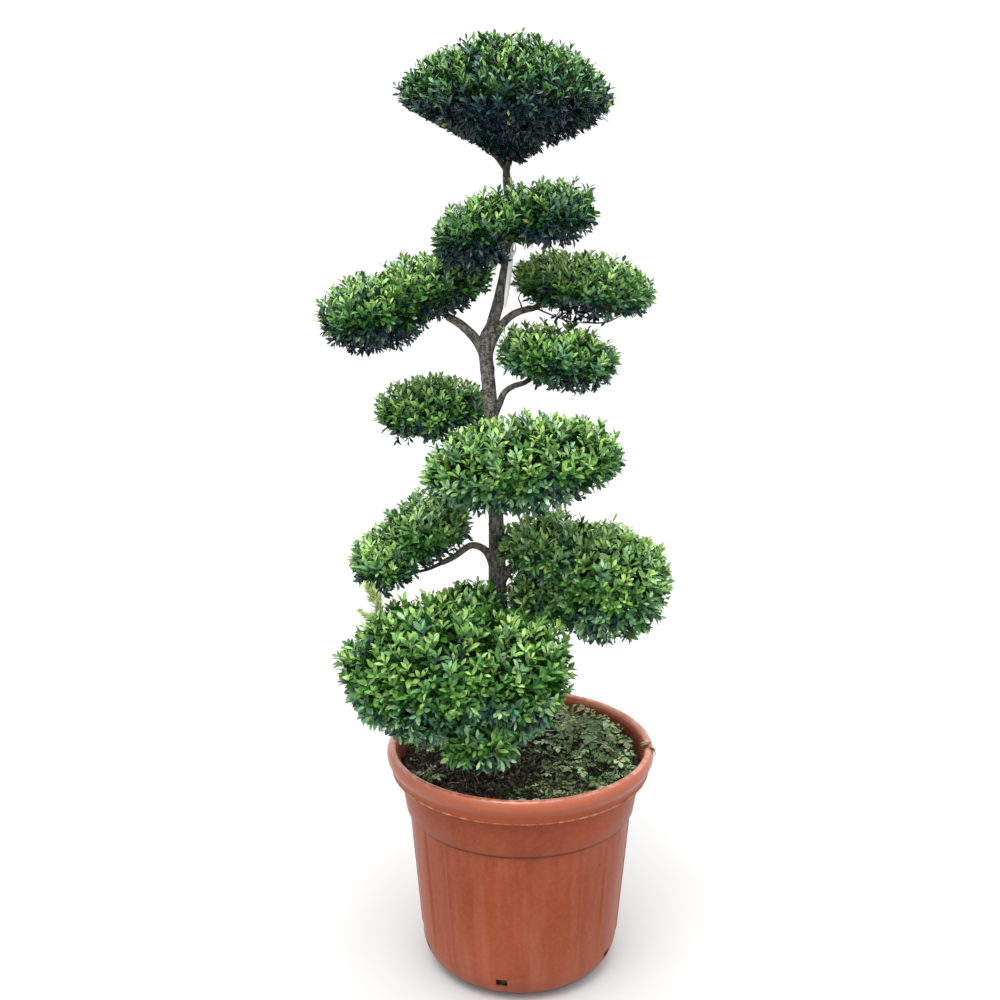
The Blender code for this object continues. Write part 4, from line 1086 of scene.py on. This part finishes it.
# pads that are open from below: their inner leaves are bluer, and their undersides get darker greens as
# painted shade
OPEN_PADS = ("crown", "upper_front", "upper_left", "lower_left")
UNDERSIDE_SHADE_TONE = 1.5
SHADE_COOL_FACINGS = {"crown": (-0.35, 0.80)}
PLAIN_SHADE_COOL_FACING = (-0.75, 0.10)
TIP_TONE = (2.2, -1.45)
SHOOT_TONE_SPREAD = 0.85
LEAF_TONE_SPREAD = 0.30


def leaf_material(name, colour, shine=LEAF_SHINE):
    """A glossy leaf: one green, a little lighter and darker from place to place."""
    look = new_material("leaf " + name, LEAF_ROUGHNESS, shine)
    darker, lighter = (tuple(min(1.0, share * c) for c in colour) for share in LEAF_MOTTLE)
    green = blended(look[1], cloud(look[1], 90.0, detail=2.0), darker, lighter)
    return finished(green, LEAF_GRAIN, look, strength=0.5)


def leaf_corners(roots, ways, normals, lengths, widths):
    """Tips and both edges of leaves, for the test whether they have room."""
    sides = np.cross(normals, ways)
    waist = roots + ways * (lengths * 0.6)[:, None]
    half = sides * (lengths * widths / 2)[:, None]
    return roots + ways * lengths[:, None], waist + half, waist - half


def leaf_blades(roots, ways, normals, lengths, widths, rng):
    """Points and faces of leaves: curled blades of twelve triangles, creased at the midrib."""
    count = len(roots)
    midrib = (0, *LEAF_STATIONS, 1.0)
    along = np.array([*midrib, *midrib, *LEAF_STATIONS, *LEAF_STATIONS])
    across = np.array([0] * 10 + list(LEAF_BREADTHS) + [-b for b in LEAF_BREADTHS]) / 2
    fold = rng.uniform(*LEAF_FOLDS, count)[:, None]
    curl = rng.uniform(*LEAF_CURLS, count)[:, None]
    width = widths[:, None]
    rise = fold * width * np.abs(across) - curl * along ** 2
    sides = np.cross(normals, ways)
    points = (ways[:, None] * along[None, :, None] + sides[:, None] * (width * across)[..., None]
              + normals[:, None] * rise[..., None])
    points = roots[:, None] + points * lengths[:, None, None]
    quads = np.array([(1, 2, 11, 10), (2, 3, 12, 11), (6, 13, 14, 7), (7, 14, 15, 8)])
    triangles = np.array([(0, 1, 10), (3, 4, 12), (5, 13, 6), (8, 15, 9)])
    shift = len(along) * np.arange(count)[:, None, None]
    return points.reshape(-1, 3), (quads + shift).reshape(-1, 4), (triangles + shift).reshape(-1, 3)


def small_blades(roots, ways, normals, lengths, widths):
    """Points and faces of leaves so small or so hidden that two triangles each are enough."""
    sides = np.cross(normals, ways) * (lengths * widths / 2)[:, None]
    waist = roots + ways * (0.55 * lengths)[:, None]
    points = np.stack([roots, waist + sides, roots + ways * lengths[:, None], waist - sides], axis=1)
    faces = np.array([(0, 1, 2), (0, 2, 3)]) + 4 * np.arange(len(roots))[:, None, None]
    return points.reshape(-1, 3), faces.reshape(-1, 3)


def leaf_piece(name, shape, tone, materials):
    """A piece of creased leaves from their points and faces, each in its tone's material."""
    points, quads, triangles = shape
    return piece_of(name, points, [quads, triangles], materials,
                    tones=np.tile(np.repeat(tone, 4), 2))


def inner_blades(pad, rng):
    """The dark old leaves in the middle of a pad that stop the light."""
    roots = []
    for lobe in PADS[pad]:
        count = round(lobe_area(lobe) * INNER_PER_SQUARE_METRE.get(pad, PLAIN_INNER))
        ways = even_directions(count, 0.1, rng)
        roots.append(lobe_point(lobe, ways, rng.uniform(*INNER_DEPTHS, count)))
    roots = trimmed(pad, np.vstack(roots), INNER_MARGIN)
    ways = even_directions(len(roots), 0.1, rng)[rng.permutation(len(roots))]
    normals = np.cross(ways, rng.normal(0, 1, ways.shape))
    normals /= np.linalg.norm(normals, axis=1, keepdims=True)
    lengths = LEAF_SIZES[pad][0] * rng.uniform(0.9, 1.3, len(roots))
    kept = is_free(pad, roots) & is_free(pad, roots + ways * lengths[:, None])
    return small_blades(roots[kept], ways[kept], normals[kept], lengths[kept], np.full(kept.sum(), 0.5))


def shoot_leaves(pad, feet, tips, facing, rng):
    """Root, way, normal, length, width share and tone of every leaf up the shoots of a pad."""
    count = len(feet)
    share = np.linspace(0.06, 1.0, LEAVES_PER_SHOOT) ** LEAF_CROWDING
    share = (share + rng.normal(0, 0.02, (count, LEAVES_PER_SHOOT))).clip(0.02, 1.0)
    axis = (tips - feet) / np.linalg.norm(tips - feet, axis=1, keepdims=True)
    guide = np.where(np.abs(axis[:, 2:]) > 0.8, (1.0, 0, 0), (0, 0, 1.0))
    across = np.cross(axis, guide)
    across /= np.linalg.norm(across, axis=1, keepdims=True)
    around = np.cross(axis, across)
    turn = rng.uniform(0, 2 * pi, (count, 1)) + GOLDEN_TURN * np.arange(LEAVES_PER_SHOOT)
    turn = turn + rng.normal(0, 0.2, turn.shape)
    spokes = across[:, None] * np.cos(turn)[..., None] + around[:, None] * np.sin(turn)[..., None]
    low, high = LEAF_LEANS
    lean = low + (high - low) * share ** 1.5 + rng.normal(0, LEAN_SPREAD, share.shape)
    lean = np.radians(lean)[..., None]
    ways = axis[:, None] * np.cos(lean) + spokes * np.sin(lean)
    normals = axis[:, None] * np.sin(lean) - spokes * np.cos(lean)
    twist = rng.normal(0, LEAF_TWIST, share.shape)[..., None]
    normals = normals * np.cos(twist) + np.cross(ways, normals) * np.sin(twist)
    roots = feet[:, None] + (tips - feet)[:, None] * share[..., None]
    length, width = LEAF_SIZES[pad]
    lengths = length * (1.05 - 0.40 * share ** 4) * rng.uniform(0.80, 1.15, share.shape)
    lengths *= rng.uniform(0.85, 1.12, (count, 1))
    widths = width * rng.uniform(0.85, 1.15, share.shape)
    base_tone, rise, cool_share = PAD_TONES[pad]
    # painted light and shade: shoots that face the sky take lighter greens, and those that face the ground
    # darker ones
    slope = rise * np.where(facing > 0, 1.0, UNDERSIDE_SHADE_TONE if pad in OPEN_PADS else 1.0)
    shoot_tone = rng.normal(base_tone + (slope * facing)[:, None], SHOOT_TONE_SPREAD, (count, 1))
    tone = shoot_tone + TIP_TONE[0] * share ** 4 + TIP_TONE[1]
    tone += rng.normal(0, LEAF_TONE_SPREAD, share.shape)
    tone = np.round(tone).clip(0, len(WARM_GREENS) - 1).astype(int)
    # painted shade: shoots that face the ground take the cool greens
    shaded_below = 1 - smooth_step(facing, *SHADE_COOL_FACINGS.get(pad, PLAIN_SHADE_COOL_FACING))
    cool = cool_share + (1 - cool_share) * shaded_below
    tone += len(WARM_GREENS) * (rng.random((count, 1)) < cool[:, None])
    for name, odd_share in ODD_SHARES.items():
        tone = np.where(rng.random(share.shape) < odd_share, TONES.index(name), tone)
    return [array.reshape(count * LEAVES_PER_SHOOT, -1).squeeze()
            for array in (roots, ways, normals, lengths, widths, tone)]


leaf_colours = [leaf_material(name, GREENS[name], DULL_LEAVES.get(name, LEAF_SHINE)) for name in TONES]
twig_bark = twig_material()
for number, (pad, lobes) in enumerate(PADS.items()):
    rng = np.random.default_rng(100 + number)
    foot, diameters, fork_share = STEMS[pad]
    foot = np.array(foot)
    wood_parts, feet, tips, facing = [], [], [], []
    fork = foot + (np.array(lobes[0][0]) - foot) * fork_share
    stem = bent(foot[None], fork[None], np.zeros((1, 3)), BRANCH_STATIONS)
    wood_parts.append((stem, taper(1, BRANCH_STATIONS, *np.array(diameters) / 2), 12))
    for knots in BARE_TWIGS.get(pad, ()):
        bare = smooth_path(knots, 0.005)
        wood_parts.append((bare[None], taper(1, len(bare), *BARE_GIRTHS.get(pad, PLAIN_BARE_GIRTHS)), 6))
    for lobe in lobes:
        heart = fork
        if lobe is not lobes[0]:
            heart = np.array(lobe[0]) - (0, 0, 0.3 * lobe[2][1])
            girth, sag = LOBE_LIMB
            joint = bent(fork[None], heart[None], np.array([sag]), BRANCH_STATIONS)
            wood_parts.append((joint, taper(1, BRANCH_STATIONS, diameters[1] / 2, girth), 8))
        inner, mains, sides = branch_paths(pad, lobe, heart, rng)
        for paths, girths, around in ((inner, LIMB_GIRTHS, 8), (mains, BRANCH_GIRTHS, 6),
                                      (sides, SIDE_GIRTHS, 5)):
            wood_parts.append((paths, taper(len(paths), BRANCH_STATIONS, *girths), around))
        lobe_feet, lobe_tips, lobe_facing = lobe_shoots(pad, lobe, rng)
        nodes = np.concatenate([mains[:, 1:].reshape(-1, 3), sides[:, 2:].reshape(-1, 3)])
        starts = nearest_nodes(lobe_feet, nodes, heart)
        bow = rng.normal(0, 0.0025, (len(starts), 3))
        twigs = bent(starts, lobe_feet, bow, TWIG_STATIONS)
        wood_parts.append((twigs, taper(len(twigs), TWIG_STATIONS, *TWIG_GIRTHS), 3))
        shoots = np.stack([lobe_feet, lobe_tips], axis=1)
        wood_parts.append((shoots, taper(len(shoots), 2, *SHOOT_GIRTHS), 3))
        feet.append(lobe_feet)
        tips.append(lobe_tips)
        facing.append(lobe_facing)
    points, quads = joined(tubes(*part) for part in wood_parts)
    piece_of("twigs_" + pad, points, [quads], [twig_bark])
    feet, tips, facing = np.vstack(feet), np.vstack(tips), np.concatenate(facing)
    *blades, tone = shoot_leaves(pad, feet, tips, facing, rng)
    free = np.ones(len(tone), bool)
    for corner in leaf_corners(*blades):
        free &= is_free(pad, corner)
    points, quads, triangles = leaf_blades(*(array[free] for array in blades), rng)
    inner_points, inner_triangles = inner_blades(pad, rng)
    tones = np.repeat(tone[free], 4)
    inner_tones = np.full(len(inner_triangles), TONES.index("cool_old" if pad in OPEN_PADS else "old"))
    leaves = piece_of("leaves_" + pad, np.vstack([points, inner_points]),
                      [quads, triangles, inner_triangles + len(points)], leaf_colours,
                      tones=np.concatenate([tones, tones, inner_tones]))
    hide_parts("pad_" + pad)

# ---- Pale shoot --------------------------------------------------------------------------
# One stray feathery shoot, pale yellow-green, that stands up out of the left of the lowest pad.
# Each stem is the start, middle and end of its bend, and how many needles it carries.
PALE_STEMS = (((-0.2380, -0.108, 0.676), (-0.2515, -0.106, 0.731), (-0.2570, -0.104, 0.778), 130),
              ((-0.2340, -0.106, 0.680), (-0.2445, -0.102, 0.722), (-0.2490, -0.100, 0.756), 90),
              ((-0.2520, -0.105, 0.735), (-0.2610, -0.104, 0.760), (-0.2700, -0.103, 0.778), 90),
              ((-0.2500, -0.107, 0.716), (-0.2640, -0.108, 0.724), (-0.2790, -0.109, 0.734), 50))
NEEDLE_LENGTH = 0.0175
NEEDLE_WIDTH = 0.26
PALE_GREENS = {"pale": (0.520, 0.620, 0.270), "paler": (0.680, 0.750, 0.450),
               "fresh": (0.320, 0.460, 0.140)}
PALE_STEM = (0.330, 0.330, 0.110)


def along_bend(knots, share):
    """Points on the curve that starts and ends at the outer knots and passes the middle one."""
    start, middle, end = np.array(knots)
    control = 2 * middle - (start + end) / 2
    share = share[:, None]
    return start * (1 - share) ** 2 + control * 2 * share * (1 - share) + end * share ** 2


rng = np.random.default_rng(41)
stems, blades = [], []
for *knots, needles in PALE_STEMS:
    stems.append(along_bend(knots, np.linspace(0, 1, 9)))
    share = np.linspace(0.04, 1, needles)
    roots = along_bend(knots, share)
    axis = roots - along_bend(knots, share - 0.05)
    axis /= np.linalg.norm(axis, axis=1, keepdims=True)
    spokes = np.cross(axis, rng.normal(0, 1, (needles, 3)))
    spokes /= np.linalg.norm(spokes, axis=1, keepdims=True)
    lean = np.radians(rng.uniform(35, 62, needles) * (1 - 0.5 * share))[:, None]
    lengths = NEEDLE_LENGTH * (1.15 - 0.5 * share) * rng.uniform(0.7, 1.2, needles)
    ways = axis * np.cos(lean) + spokes * np.sin(lean)
    normals = axis * np.sin(lean) - spokes * np.cos(lean)
    blades.append((roots, ways, normals, lengths, np.full(needles, NEEDLE_WIDTH)))
blades = [np.concatenate(part) for part in zip(*blades)]
shape = leaf_blades(*blades, rng)
leaf_piece("pale_needles", shape, rng.integers(0, len(PALE_GREENS), len(blades[0])),
           [leaf_material(*item) for item in PALE_GREENS.items()])
points, faces = tubes(np.array(stems), taper(len(stems), 9, 0.0010, 0.0004), 5)
piece_of("pale_stems", points, [faces], [leaf_material("pale stem", PALE_STEM)])

# ---- Weeds and moss ----------------------------------------------------------------------
# What has seeded itself on the compost: a low olive carpet of moss in tufts, small weeds in
# rosettes, larger pale ones towards the right, a few bent dry stalks, and one leaf on the rim.
MOSS_TUFTS = 860
MOSS_LEAVES = 36
MOSS_SPREAD = 0.0058
MOSS_LENGTHS = (0.0026, 0.0068)
MOSS_LIFT = (0.1, 1.4)
MOSS_WIDTH = 0.42
MOSS_PATCHES = 0.05
MOSS_SLOPE = (2.0, -1.2)
WEEDS = 250
WEED_LEAVES = 5
WEED_LENGTHS = (0.0080, 0.0190)
WEED_SPREAD = 0.0015
WEED_LIFT = (0.1, 0.9)
WEED_WIDTH = 0.48
WEED_SHINE = 0.20
WEED_SHARES = (0.42, 0.30, 0.28)
WEEDY_SIDE = (-0.12, 0.10)
# bitter cress: where each plant stands and how far its leaves reach
CRESS = (
    (0.156, 0.051, 0.046), (0.108, 0.055, 0.040), (0.205, 0.030, 0.034), (0.196, -0.070, 0.036),
    (0.176, -0.010, 0.038), (0.131, -0.014, 0.030), (0.158, -0.104, 0.032), (0.070, 0.020, 0.030),
    (0.083, 0.172, 0.046), (0.040, 0.196, 0.040), (0.124, 0.150, 0.044), (0.160, 0.128, 0.046),
    (0.186, 0.086, 0.042), (0.060, 0.120, 0.036), (0.110, 0.108, 0.038), (-0.010, 0.160, 0.034),
    (-0.070, 0.180, 0.034), (-0.130, 0.140, 0.032), (-0.180, 0.060, 0.028), (-0.168, -0.080, 0.024),
    (0.010, -0.178, 0.024), (0.090, -0.150, 0.028), (0.060, -0.070, 0.024), (0.140, 0.006, 0.030),
    (0.198, 0.062, 0.040), (0.208, -0.012, 0.036), (0.150, 0.160, 0.040), (0.120, 0.180, 0.040),
    (0.010, 0.206, 0.036), (0.178, 0.110, 0.038), (0.204, -0.050, 0.030), (0.030, -0.110, 0.026),
    (0.110, -0.060, 0.026), (0.060, -0.120, 0.024),
)
CRESS_LEAVES = 8
CRESS_PAIRS = 3
CRESS_PAIRS_SPAN = (0.30, 0.86)
CRESS_RISE = (0.35, 0.95)
CRESS_ARCH = (1.7, 1.1)
CRESS_GIRTHS = (0.0007, 0.0004)
LEAFLET = (0.33, 0.62)
# leaflets point this much sideways and this much forwards; one larger leaflet ends each leaf
LEAFLET_WAY = (0.9, 0.45)
LEAFLETS_STRAY = 0.12
END_LEAFLET = (0.93, 1.5)
WEED_TONES = {"moss dark": (0.008, 0.016, 0.006), "moss olive": (0.027, 0.040, 0.012),
              "moss grey": (0.050, 0.066, 0.030), "weed green": (0.042, 0.092, 0.025),
              "weed pale": (0.215, 0.300, 0.145), "weed olive": (0.098, 0.125, 0.040)}
STALKS = (((0.036, 0.104, 0.420), (0.046, 0.080, 0.423), (0.070, 0.084, 0.421)),
          ((0.108, -0.004, 0.414), (0.136, 0.012, 0.432), (0.176, -0.002, 0.418)),
          ((0.010, -0.190, 0.402), (0.026, -0.184, 0.414), (0.044, -0.190, 0.402)),
          ((-0.060, 0.130, 0.406), (-0.040, 0.140, 0.424), (-0.012, 0.136, 0.408)))
STALK_GIRTHS = (0.0014, 0.0009)
STALK_STRAW = (0.440, 0.440, 0.340)
STALK_SHADE = 0.6
STALK_SCALE = 150.0
# dry leaves that hang over the rim: foot, tip and which way their upper side faces
RIM_LEAVES = (((0.2230, -0.016, 0.4350), (0.2440, -0.022, 0.4420), (0.1, 0.0, 1.0)),
              ((0.2260, -0.024, 0.4380), (0.2520, -0.034, 0.4340), (0.7, 0.0, 0.7)),
              ((0.2240, -0.008, 0.4360), (0.2480, -0.004, 0.4400), (0.3, 0.2, 0.9)),
              ((0.2400, -0.028, 0.4420), (0.2560, -0.030, 0.4240), (1.0, 0.0, 0.2)))
RIM_LEAF_WIDTH = 0.55
DRY_OLIVE = (0.095, 0.100, 0.032)
DRY_TAN = (0.140, 0.092, 0.042)


def rosettes(centres, leaves, lengths, spread, lift, rng):
    """Roots, ways and normals of leaves that radiate from centres, and their lengths."""
    count = len(centres)
    turn = rng.uniform(0, 2 * pi, (count, 1)) + 2 * pi * np.arange(leaves) / leaves
    turn += rng.normal(0, 0.35, turn.shape)
    rise = rng.uniform(*lift, turn.shape)
    ways = np.stack([np.cos(turn) * np.cos(rise), np.sin(turn) * np.cos(rise), np.sin(rise)], axis=-1)
    normals = np.stack([-np.cos(turn) * np.sin(rise), -np.sin(turn) * np.sin(rise), np.cos(rise)], axis=-1)
    offset = rng.normal(0, spread, (count, leaves, 2))
    places = centres[:, None, :2] + offset
    flat = places.reshape(-1, 2)
    roots = np.column_stack([flat, soil_height(flat)])
    sizes = rng.uniform(*lengths, (count, 1)) * rng.uniform(0.7, 1.1, turn.shape)
    return roots, ways.reshape(-1, 3), normals.reshape(-1, 3), sizes.ravel()


def inside_pot(roots, lengths, margin=0.004):
    """True where a leaf of this length has room between the trunk and the pot's wall."""
    radius = np.hypot(roots[:, 0], roots[:, 1])
    return (radius + 0.8 * lengths < edge - margin) & (limb_distance(roots) > 0.004)


rng = np.random.default_rng(57)
weed_leaves = [leaf_material(*item, WEED_SHINE) for item in WEED_TONES.items()]
tufts = scattered(4 * MOSS_TUFTS, edge - 0.006, rng)
mossy = lumps(np.column_stack([tufts, np.zeros(len(tufts))]), MOSS_PATCHES, 21, detail=3)
mossy += tufts @ np.array(MOSS_SLOPE) + rng.normal(0, 0.15, len(tufts))
tufts = tufts[np.argsort(-mossy)[:MOSS_TUFTS]]
seedlings = scattered(2 * WEEDS, edge - 0.012, rng)
seedlings = seedlings[rng.random(2 * WEEDS) < smooth_step(seedlings[:, 0], *WEEDY_SIDE) * 0.9 + 0.1]
groups = [("moss", tufts, MOSS_LEAVES, MOSS_LENGTHS, MOSS_SPREAD, MOSS_LIFT, MOSS_WIDTH, 0),
          ("weeds", seedlings, WEED_LEAVES, WEED_LENGTHS, WEED_SPREAD, WEED_LIFT, WEED_WIDTH, 3)]
for name, centres, leaves, lengths, spread, lift, width, first_tone in groups:
    roots, ways, normals, sizes = rosettes(centres, leaves, lengths, spread, lift, rng)
    kept = inside_pot(roots, sizes)
    blades = [roots[kept], ways[kept], normals[kept], sizes[kept]]
    blades.append(width * rng.uniform(0.8, 1.2, kept.sum()))
    tone = np.repeat(first_tone + rng.choice(3, len(centres), p=WEED_SHARES), leaves)[kept]
    if name == "moss":
        points, triangles = small_blades(*blades)
        piece_of(name, points, [triangles], weed_leaves, tones=tone.repeat(2), smooth=False)
    else:
        leaf_piece(name, leaf_blades(*blades, rng), tone, weed_leaves)

plants = np.array(CRESS)
count = len(plants) * CRESS_LEAVES
turn = (2 * pi * np.arange(CRESS_LEAVES) / CRESS_LEAVES + rng.uniform(0, 2 * pi, (len(plants), 1))).ravel()
turn += rng.normal(0, 0.3, count)
reach = (plants[:, 2:] * rng.uniform(0.65, 1.1, (len(plants), CRESS_LEAVES))).ravel()
rise = reach * rng.uniform(*CRESS_RISE, count)
out = np.column_stack([np.cos(turn), np.sin(turn), np.zeros(count)])
across = np.column_stack([-np.sin(turn), np.cos(turn), np.zeros(count)])
feet = np.column_stack([plants[:, :2], soil_height(plants[:, :2])]).repeat(CRESS_LEAVES, axis=0)


def cress_stalk(share):
    """Points along the arching stalks of the cress leaves, and which way they run there."""
    start, fall = CRESS_ARCH
    height = rise * (start * share - fall * share ** 2)
    run = out * reach[:, None] + np.outer(rise * (start - 2 * fall * share), (0, 0, 1))
    return (feet + out * (reach * share)[:, None] + np.outer(height, (0, 0, 1)),
            run / np.linalg.norm(run, axis=1, keepdims=True))


blades = []
for share in np.linspace(*CRESS_PAIRS_SPAN, CRESS_PAIRS):
    roots, run = cress_stalk(share)
    for side in (-1, 1):
        ways = side * LEAFLET_WAY[0] * across + LEAFLET_WAY[1] * run
        ways += rng.normal(0, LEAFLETS_STRAY, (count, 3))
        blades.append((roots, ways, reach * LEAFLET[0] * (0.6 + 0.5 * share), run))
roots, run = cress_stalk(END_LEAFLET[0])
blades.append((roots, run + rng.normal(0, 0.1, (count, 3)), reach * LEAFLET[0] * END_LEAFLET[1], across))
roots, ways, lengths, beside = (np.concatenate(part) for part in zip(*blades))
ways /= np.linalg.norm(ways, axis=1, keepdims=True)
normals = np.cross(ways, beside)
normals *= np.sign(normals[:, 2:] + 1e-9) / np.linalg.norm(normals, axis=1, keepdims=True)
lengths *= rng.uniform(0.8, 1.2, len(lengths))
tone = np.tile(3 + rng.choice(3, count, p=WEED_SHARES), 2 * CRESS_PAIRS + 1)
kept = inside_pot(roots, lengths)
widths = LEAFLET[1] * rng.uniform(0.85, 1.15, kept.sum())
shape = leaf_blades(roots[kept], ways[kept], normals[kept], lengths[kept], widths, rng)
leaf_piece("cress_leaflets", shape, tone[kept], weed_leaves)
stalks = np.stack([cress_stalk(share)[0] for share in np.linspace(0, 0.95, 6)], axis=1)
stalks = stalks[inside_pot(stalks[:, -1], reach * 0.1)]
points, faces = tubes(stalks, taper(len(stalks), 6, *CRESS_GIRTHS), 4)
piece_of("cress_stalks", points, [faces], [weed_leaves[5]])

foot, tip, normals = np.array(RIM_LEAVES).transpose(1, 0, 2)
lengths = np.linalg.norm(tip - foot, axis=1)
ways = (tip - foot) / lengths[:, None]
normals -= np.sum(normals * ways, axis=1, keepdims=True) * ways
normals /= np.linalg.norm(normals, axis=1, keepdims=True)
shape = leaf_blades(foot, ways, normals, lengths, np.full(len(foot), RIM_LEAF_WIDTH), rng)
leaf_piece("rim_leaves", shape, np.arange(len(foot)) % 2,
           [leaf_material("dry olive", DRY_OLIVE), leaf_material("dry tan", DRY_TAN)])

stalks = np.array([along_bend(knots, np.linspace(0, 1, 11)) for knots in STALKS])
points, faces = tubes(stalks, taper(len(stalks), 11, *STALK_GIRTHS), 6)
shaded = tuple(STALK_SHADE * c for c in STALK_STRAW)
straw = soil_material("dry stalk", shaded, STALK_STRAW, STALK_SCALE)
piece_of("dry_stalks", points, [faces], [straw])

# ---- Label -------------------------------------------------------------------------------
# A blank nursery label of thin pale plastic, looped round the trunk: the strap passes through a
# slit in its pointed head, its tongue sticks out, and the long tail hangs down, torn at the end.
LABEL_THICKNESS = 0.0005
LABEL_TAIL = ((-0.0180, -0.0125, 1.3400, 0.0066), (-0.0195, -0.0134, 1.3300, 0.0080),
              (-0.0232, -0.0156, 1.3000, 0.0084), (-0.0265, -0.0174, 1.2740, 0.0078),
              (-0.0285, -0.0180, 1.2600, 0.0056), (-0.0298, -0.0182, 1.2500, 0.0020))
LABEL_HEAD = (-0.0152, -0.0130, 1.3480)
LABEL_HEAD_SIZE = (0.0088, 0.0215)
LABEL_SLIT = 0.55
# width added to each side of the head, and how far the head leans over its height
LABEL_EDGE = 0.0010
LABEL_LEAN = 0.10
LABEL_LOOP = ((-0.0235, 0.0035, 1.3420), 0.0102, 0.0042)
LABEL_TONGUE = ((-0.0180, -0.0112, 1.3440, 0.0040), (-0.0215, -0.0135, 1.3405, 0.0036),
                (-0.0255, -0.0150, 1.3375, 0.0010))
# the ways across the strip in its tail and head, its loop, and its tongue
TAIL_ACROSS = (0.97, 0.24, 0.0)
LOOP_ACROSS = (0.0, 0.0, 1.0)
TONGUE_ACROSS = (0.35, 0.0, 0.94)
HEAD_STATIONS = 9
LOOP_STATIONS = 40
LOOP_TURN = (-60, 250)
LABEL_WHITE = (0.920, 0.950, 0.930)
LABEL_GREENISH = (0.800, 0.910, 0.760)
LABEL_ROUGHNESS = 0.40
LABEL_GRAIN = (300.0, 2.0, 0.0002)


def ribbon(path, across):
    """Points, sides and ends of a flat strip; path is (x, y, z, width) with its ways across."""
    path, across = np.array(path), np.asarray(across)
    along = np.gradient(path[:, :3], axis=0)
    face = np.cross(along, across)
    face /= np.linalg.norm(face, axis=1, keepdims=True)
    corners = [path[:, :3] + across * path[:, 3:] / 2 * wide + face * LABEL_THICKNESS / 2 * thick
               for wide, thick in ((1, 1), (-1, 1), (-1, -1), (1, -1))]
    last = 4 * (len(path) - 1)
    ends = np.array([(3, 2, 1, 0), (last, last + 1, last + 2, last + 3)])
    return np.stack(corners, axis=1).reshape(-1, 3), np.vstack([ring_faces(len(path), 4)[:, ::-1], ends])


def label_material():
    """Pale plastic film, a little greener where the light comes through it."""
    look = new_material("label plastic", LABEL_ROUGHNESS)
    colour = blended(look[1], cloud(look[1], 60.0, detail=2.0), LABEL_WHITE, LABEL_GREENISH)
    return finished(colour, LABEL_GRAIN, look)


strips = [ribbon(LABEL_TAIL, np.tile(TAIL_ACROSS, (len(LABEL_TAIL), 1)))]
head_width, head_height = LABEL_HEAD_SIZE
rise = np.linspace(-0.5, 0.5, HEAD_STATIONS)
bulge = head_width / 2 * np.cos(pi * rise) ** 0.7 * (1 + LABEL_SLIT) / 2 + 0.0003
width = head_width / 2 * (1 - LABEL_SLIT) * np.cos(pi * rise).clip(0.25) + LABEL_EDGE
for side in (-1, 1):
    path = [LABEL_HEAD[0] + side * bulge * TAIL_ACROSS[0] + LABEL_LEAN * rise * head_height,
            LABEL_HEAD[1] + side * bulge * TAIL_ACROSS[1], LABEL_HEAD[2] + rise * head_height, width]
    strips.append(ribbon(np.column_stack(path), np.tile(TAIL_ACROSS, (HEAD_STATIONS, 1))))
centre, radius, width = LABEL_LOOP
turn = np.radians(np.linspace(*LOOP_TURN, LOOP_STATIONS))
path = [centre[0] + radius * np.cos(turn), centre[1] + radius * np.sin(turn),
        centre[2] + 0.0015 * np.sin(turn), np.full(LOOP_STATIONS, width)]
strips.append(ribbon(np.column_stack(path), np.tile(LOOP_ACROSS, (LOOP_STATIONS, 1))))
strips.append(ribbon(LABEL_TONGUE, np.tile(TONGUE_ACROSS, (len(LABEL_TONGUE), 1))))
points, faces = joined(strips)
label = piece_of("label", points, [faces], [label_material()], smooth=False)
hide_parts("label_strip")

# ---- Floor and light ---------------------------------------------------------------------
# A plain pale studio floor under a soft even sky that is brightest overhead, and one large soft
# lamp above the front. Floor and sky are about equally bright, so no line shows between them.
FLOOR_SIZE = 60.0
FLOOR_PALE = (0.460, 0.460, 0.460)
FLOOR_SHADE = 0.98
SKY_STRENGTHS = (1.02, 2.80)
KEY_PLACE = (-0.6, -2.0, 4.6)
KEY_AIM = (0.0, 0.0, 0.9)
KEY_SIZE = 2.4
KEY_POWER = 130.0

bpy.ops.mesh.primitive_plane_add(size=FLOOR_SIZE)
floor = bpy.context.object
floor.name = "studio_floor"
material, tree, shader = new_material("pale floor", 0.90)
shaded = tuple(FLOOR_SHADE * c for c in FLOOR_PALE)
tree.links.new(blended(tree, cloud(tree, 3.0), FLOOR_PALE, shaded), shader.inputs["Base Color"])
floor.data.materials.append(material)
floor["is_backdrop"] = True

world = bpy.data.worlds.new("studio")
world.use_nodes = True
bpy.context.scene.world = world
tree = world.node_tree
way = tree.nodes.new("ShaderNodeTexCoord")
parts = tree.nodes.new("ShaderNodeSeparateXYZ")
brightness = tree.nodes.new("ShaderNodeMapRange")
brightness.inputs["To Min"].default_value, brightness.inputs["To Max"].default_value = SKY_STRENGTHS
tree.links.new(way.outputs["Generated"], parts.inputs["Vector"])
tree.links.new(parts.outputs["Z"], brightness.inputs["Value"])
tree.nodes["Background"].inputs["Color"].default_value = (1.0, 1.0, 1.0, 1.0)
tree.links.new(brightness.outputs["Result"], tree.nodes["Background"].inputs["Strength"])

key = bpy.data.objects.new("key_light", bpy.data.lights.new("key_light", "AREA"))
key.data.shape = "DISK"
key.data.size = KEY_SIZE
key.data.energy = KEY_POWER
key.location = KEY_PLACE
key.rotation_euler = (Vector(KEY_AIM) - Vector(KEY_PLACE)).to_track_quat("-Z", "Y").to_euler()
bpy.context.scene.collection.objects.link(key)

bpy.context.scene.view_settings.view_transform = "Standard"

sizes = {"cad": [list(corner) for corner in cad_box], "visual": [list(corner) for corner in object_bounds()]}
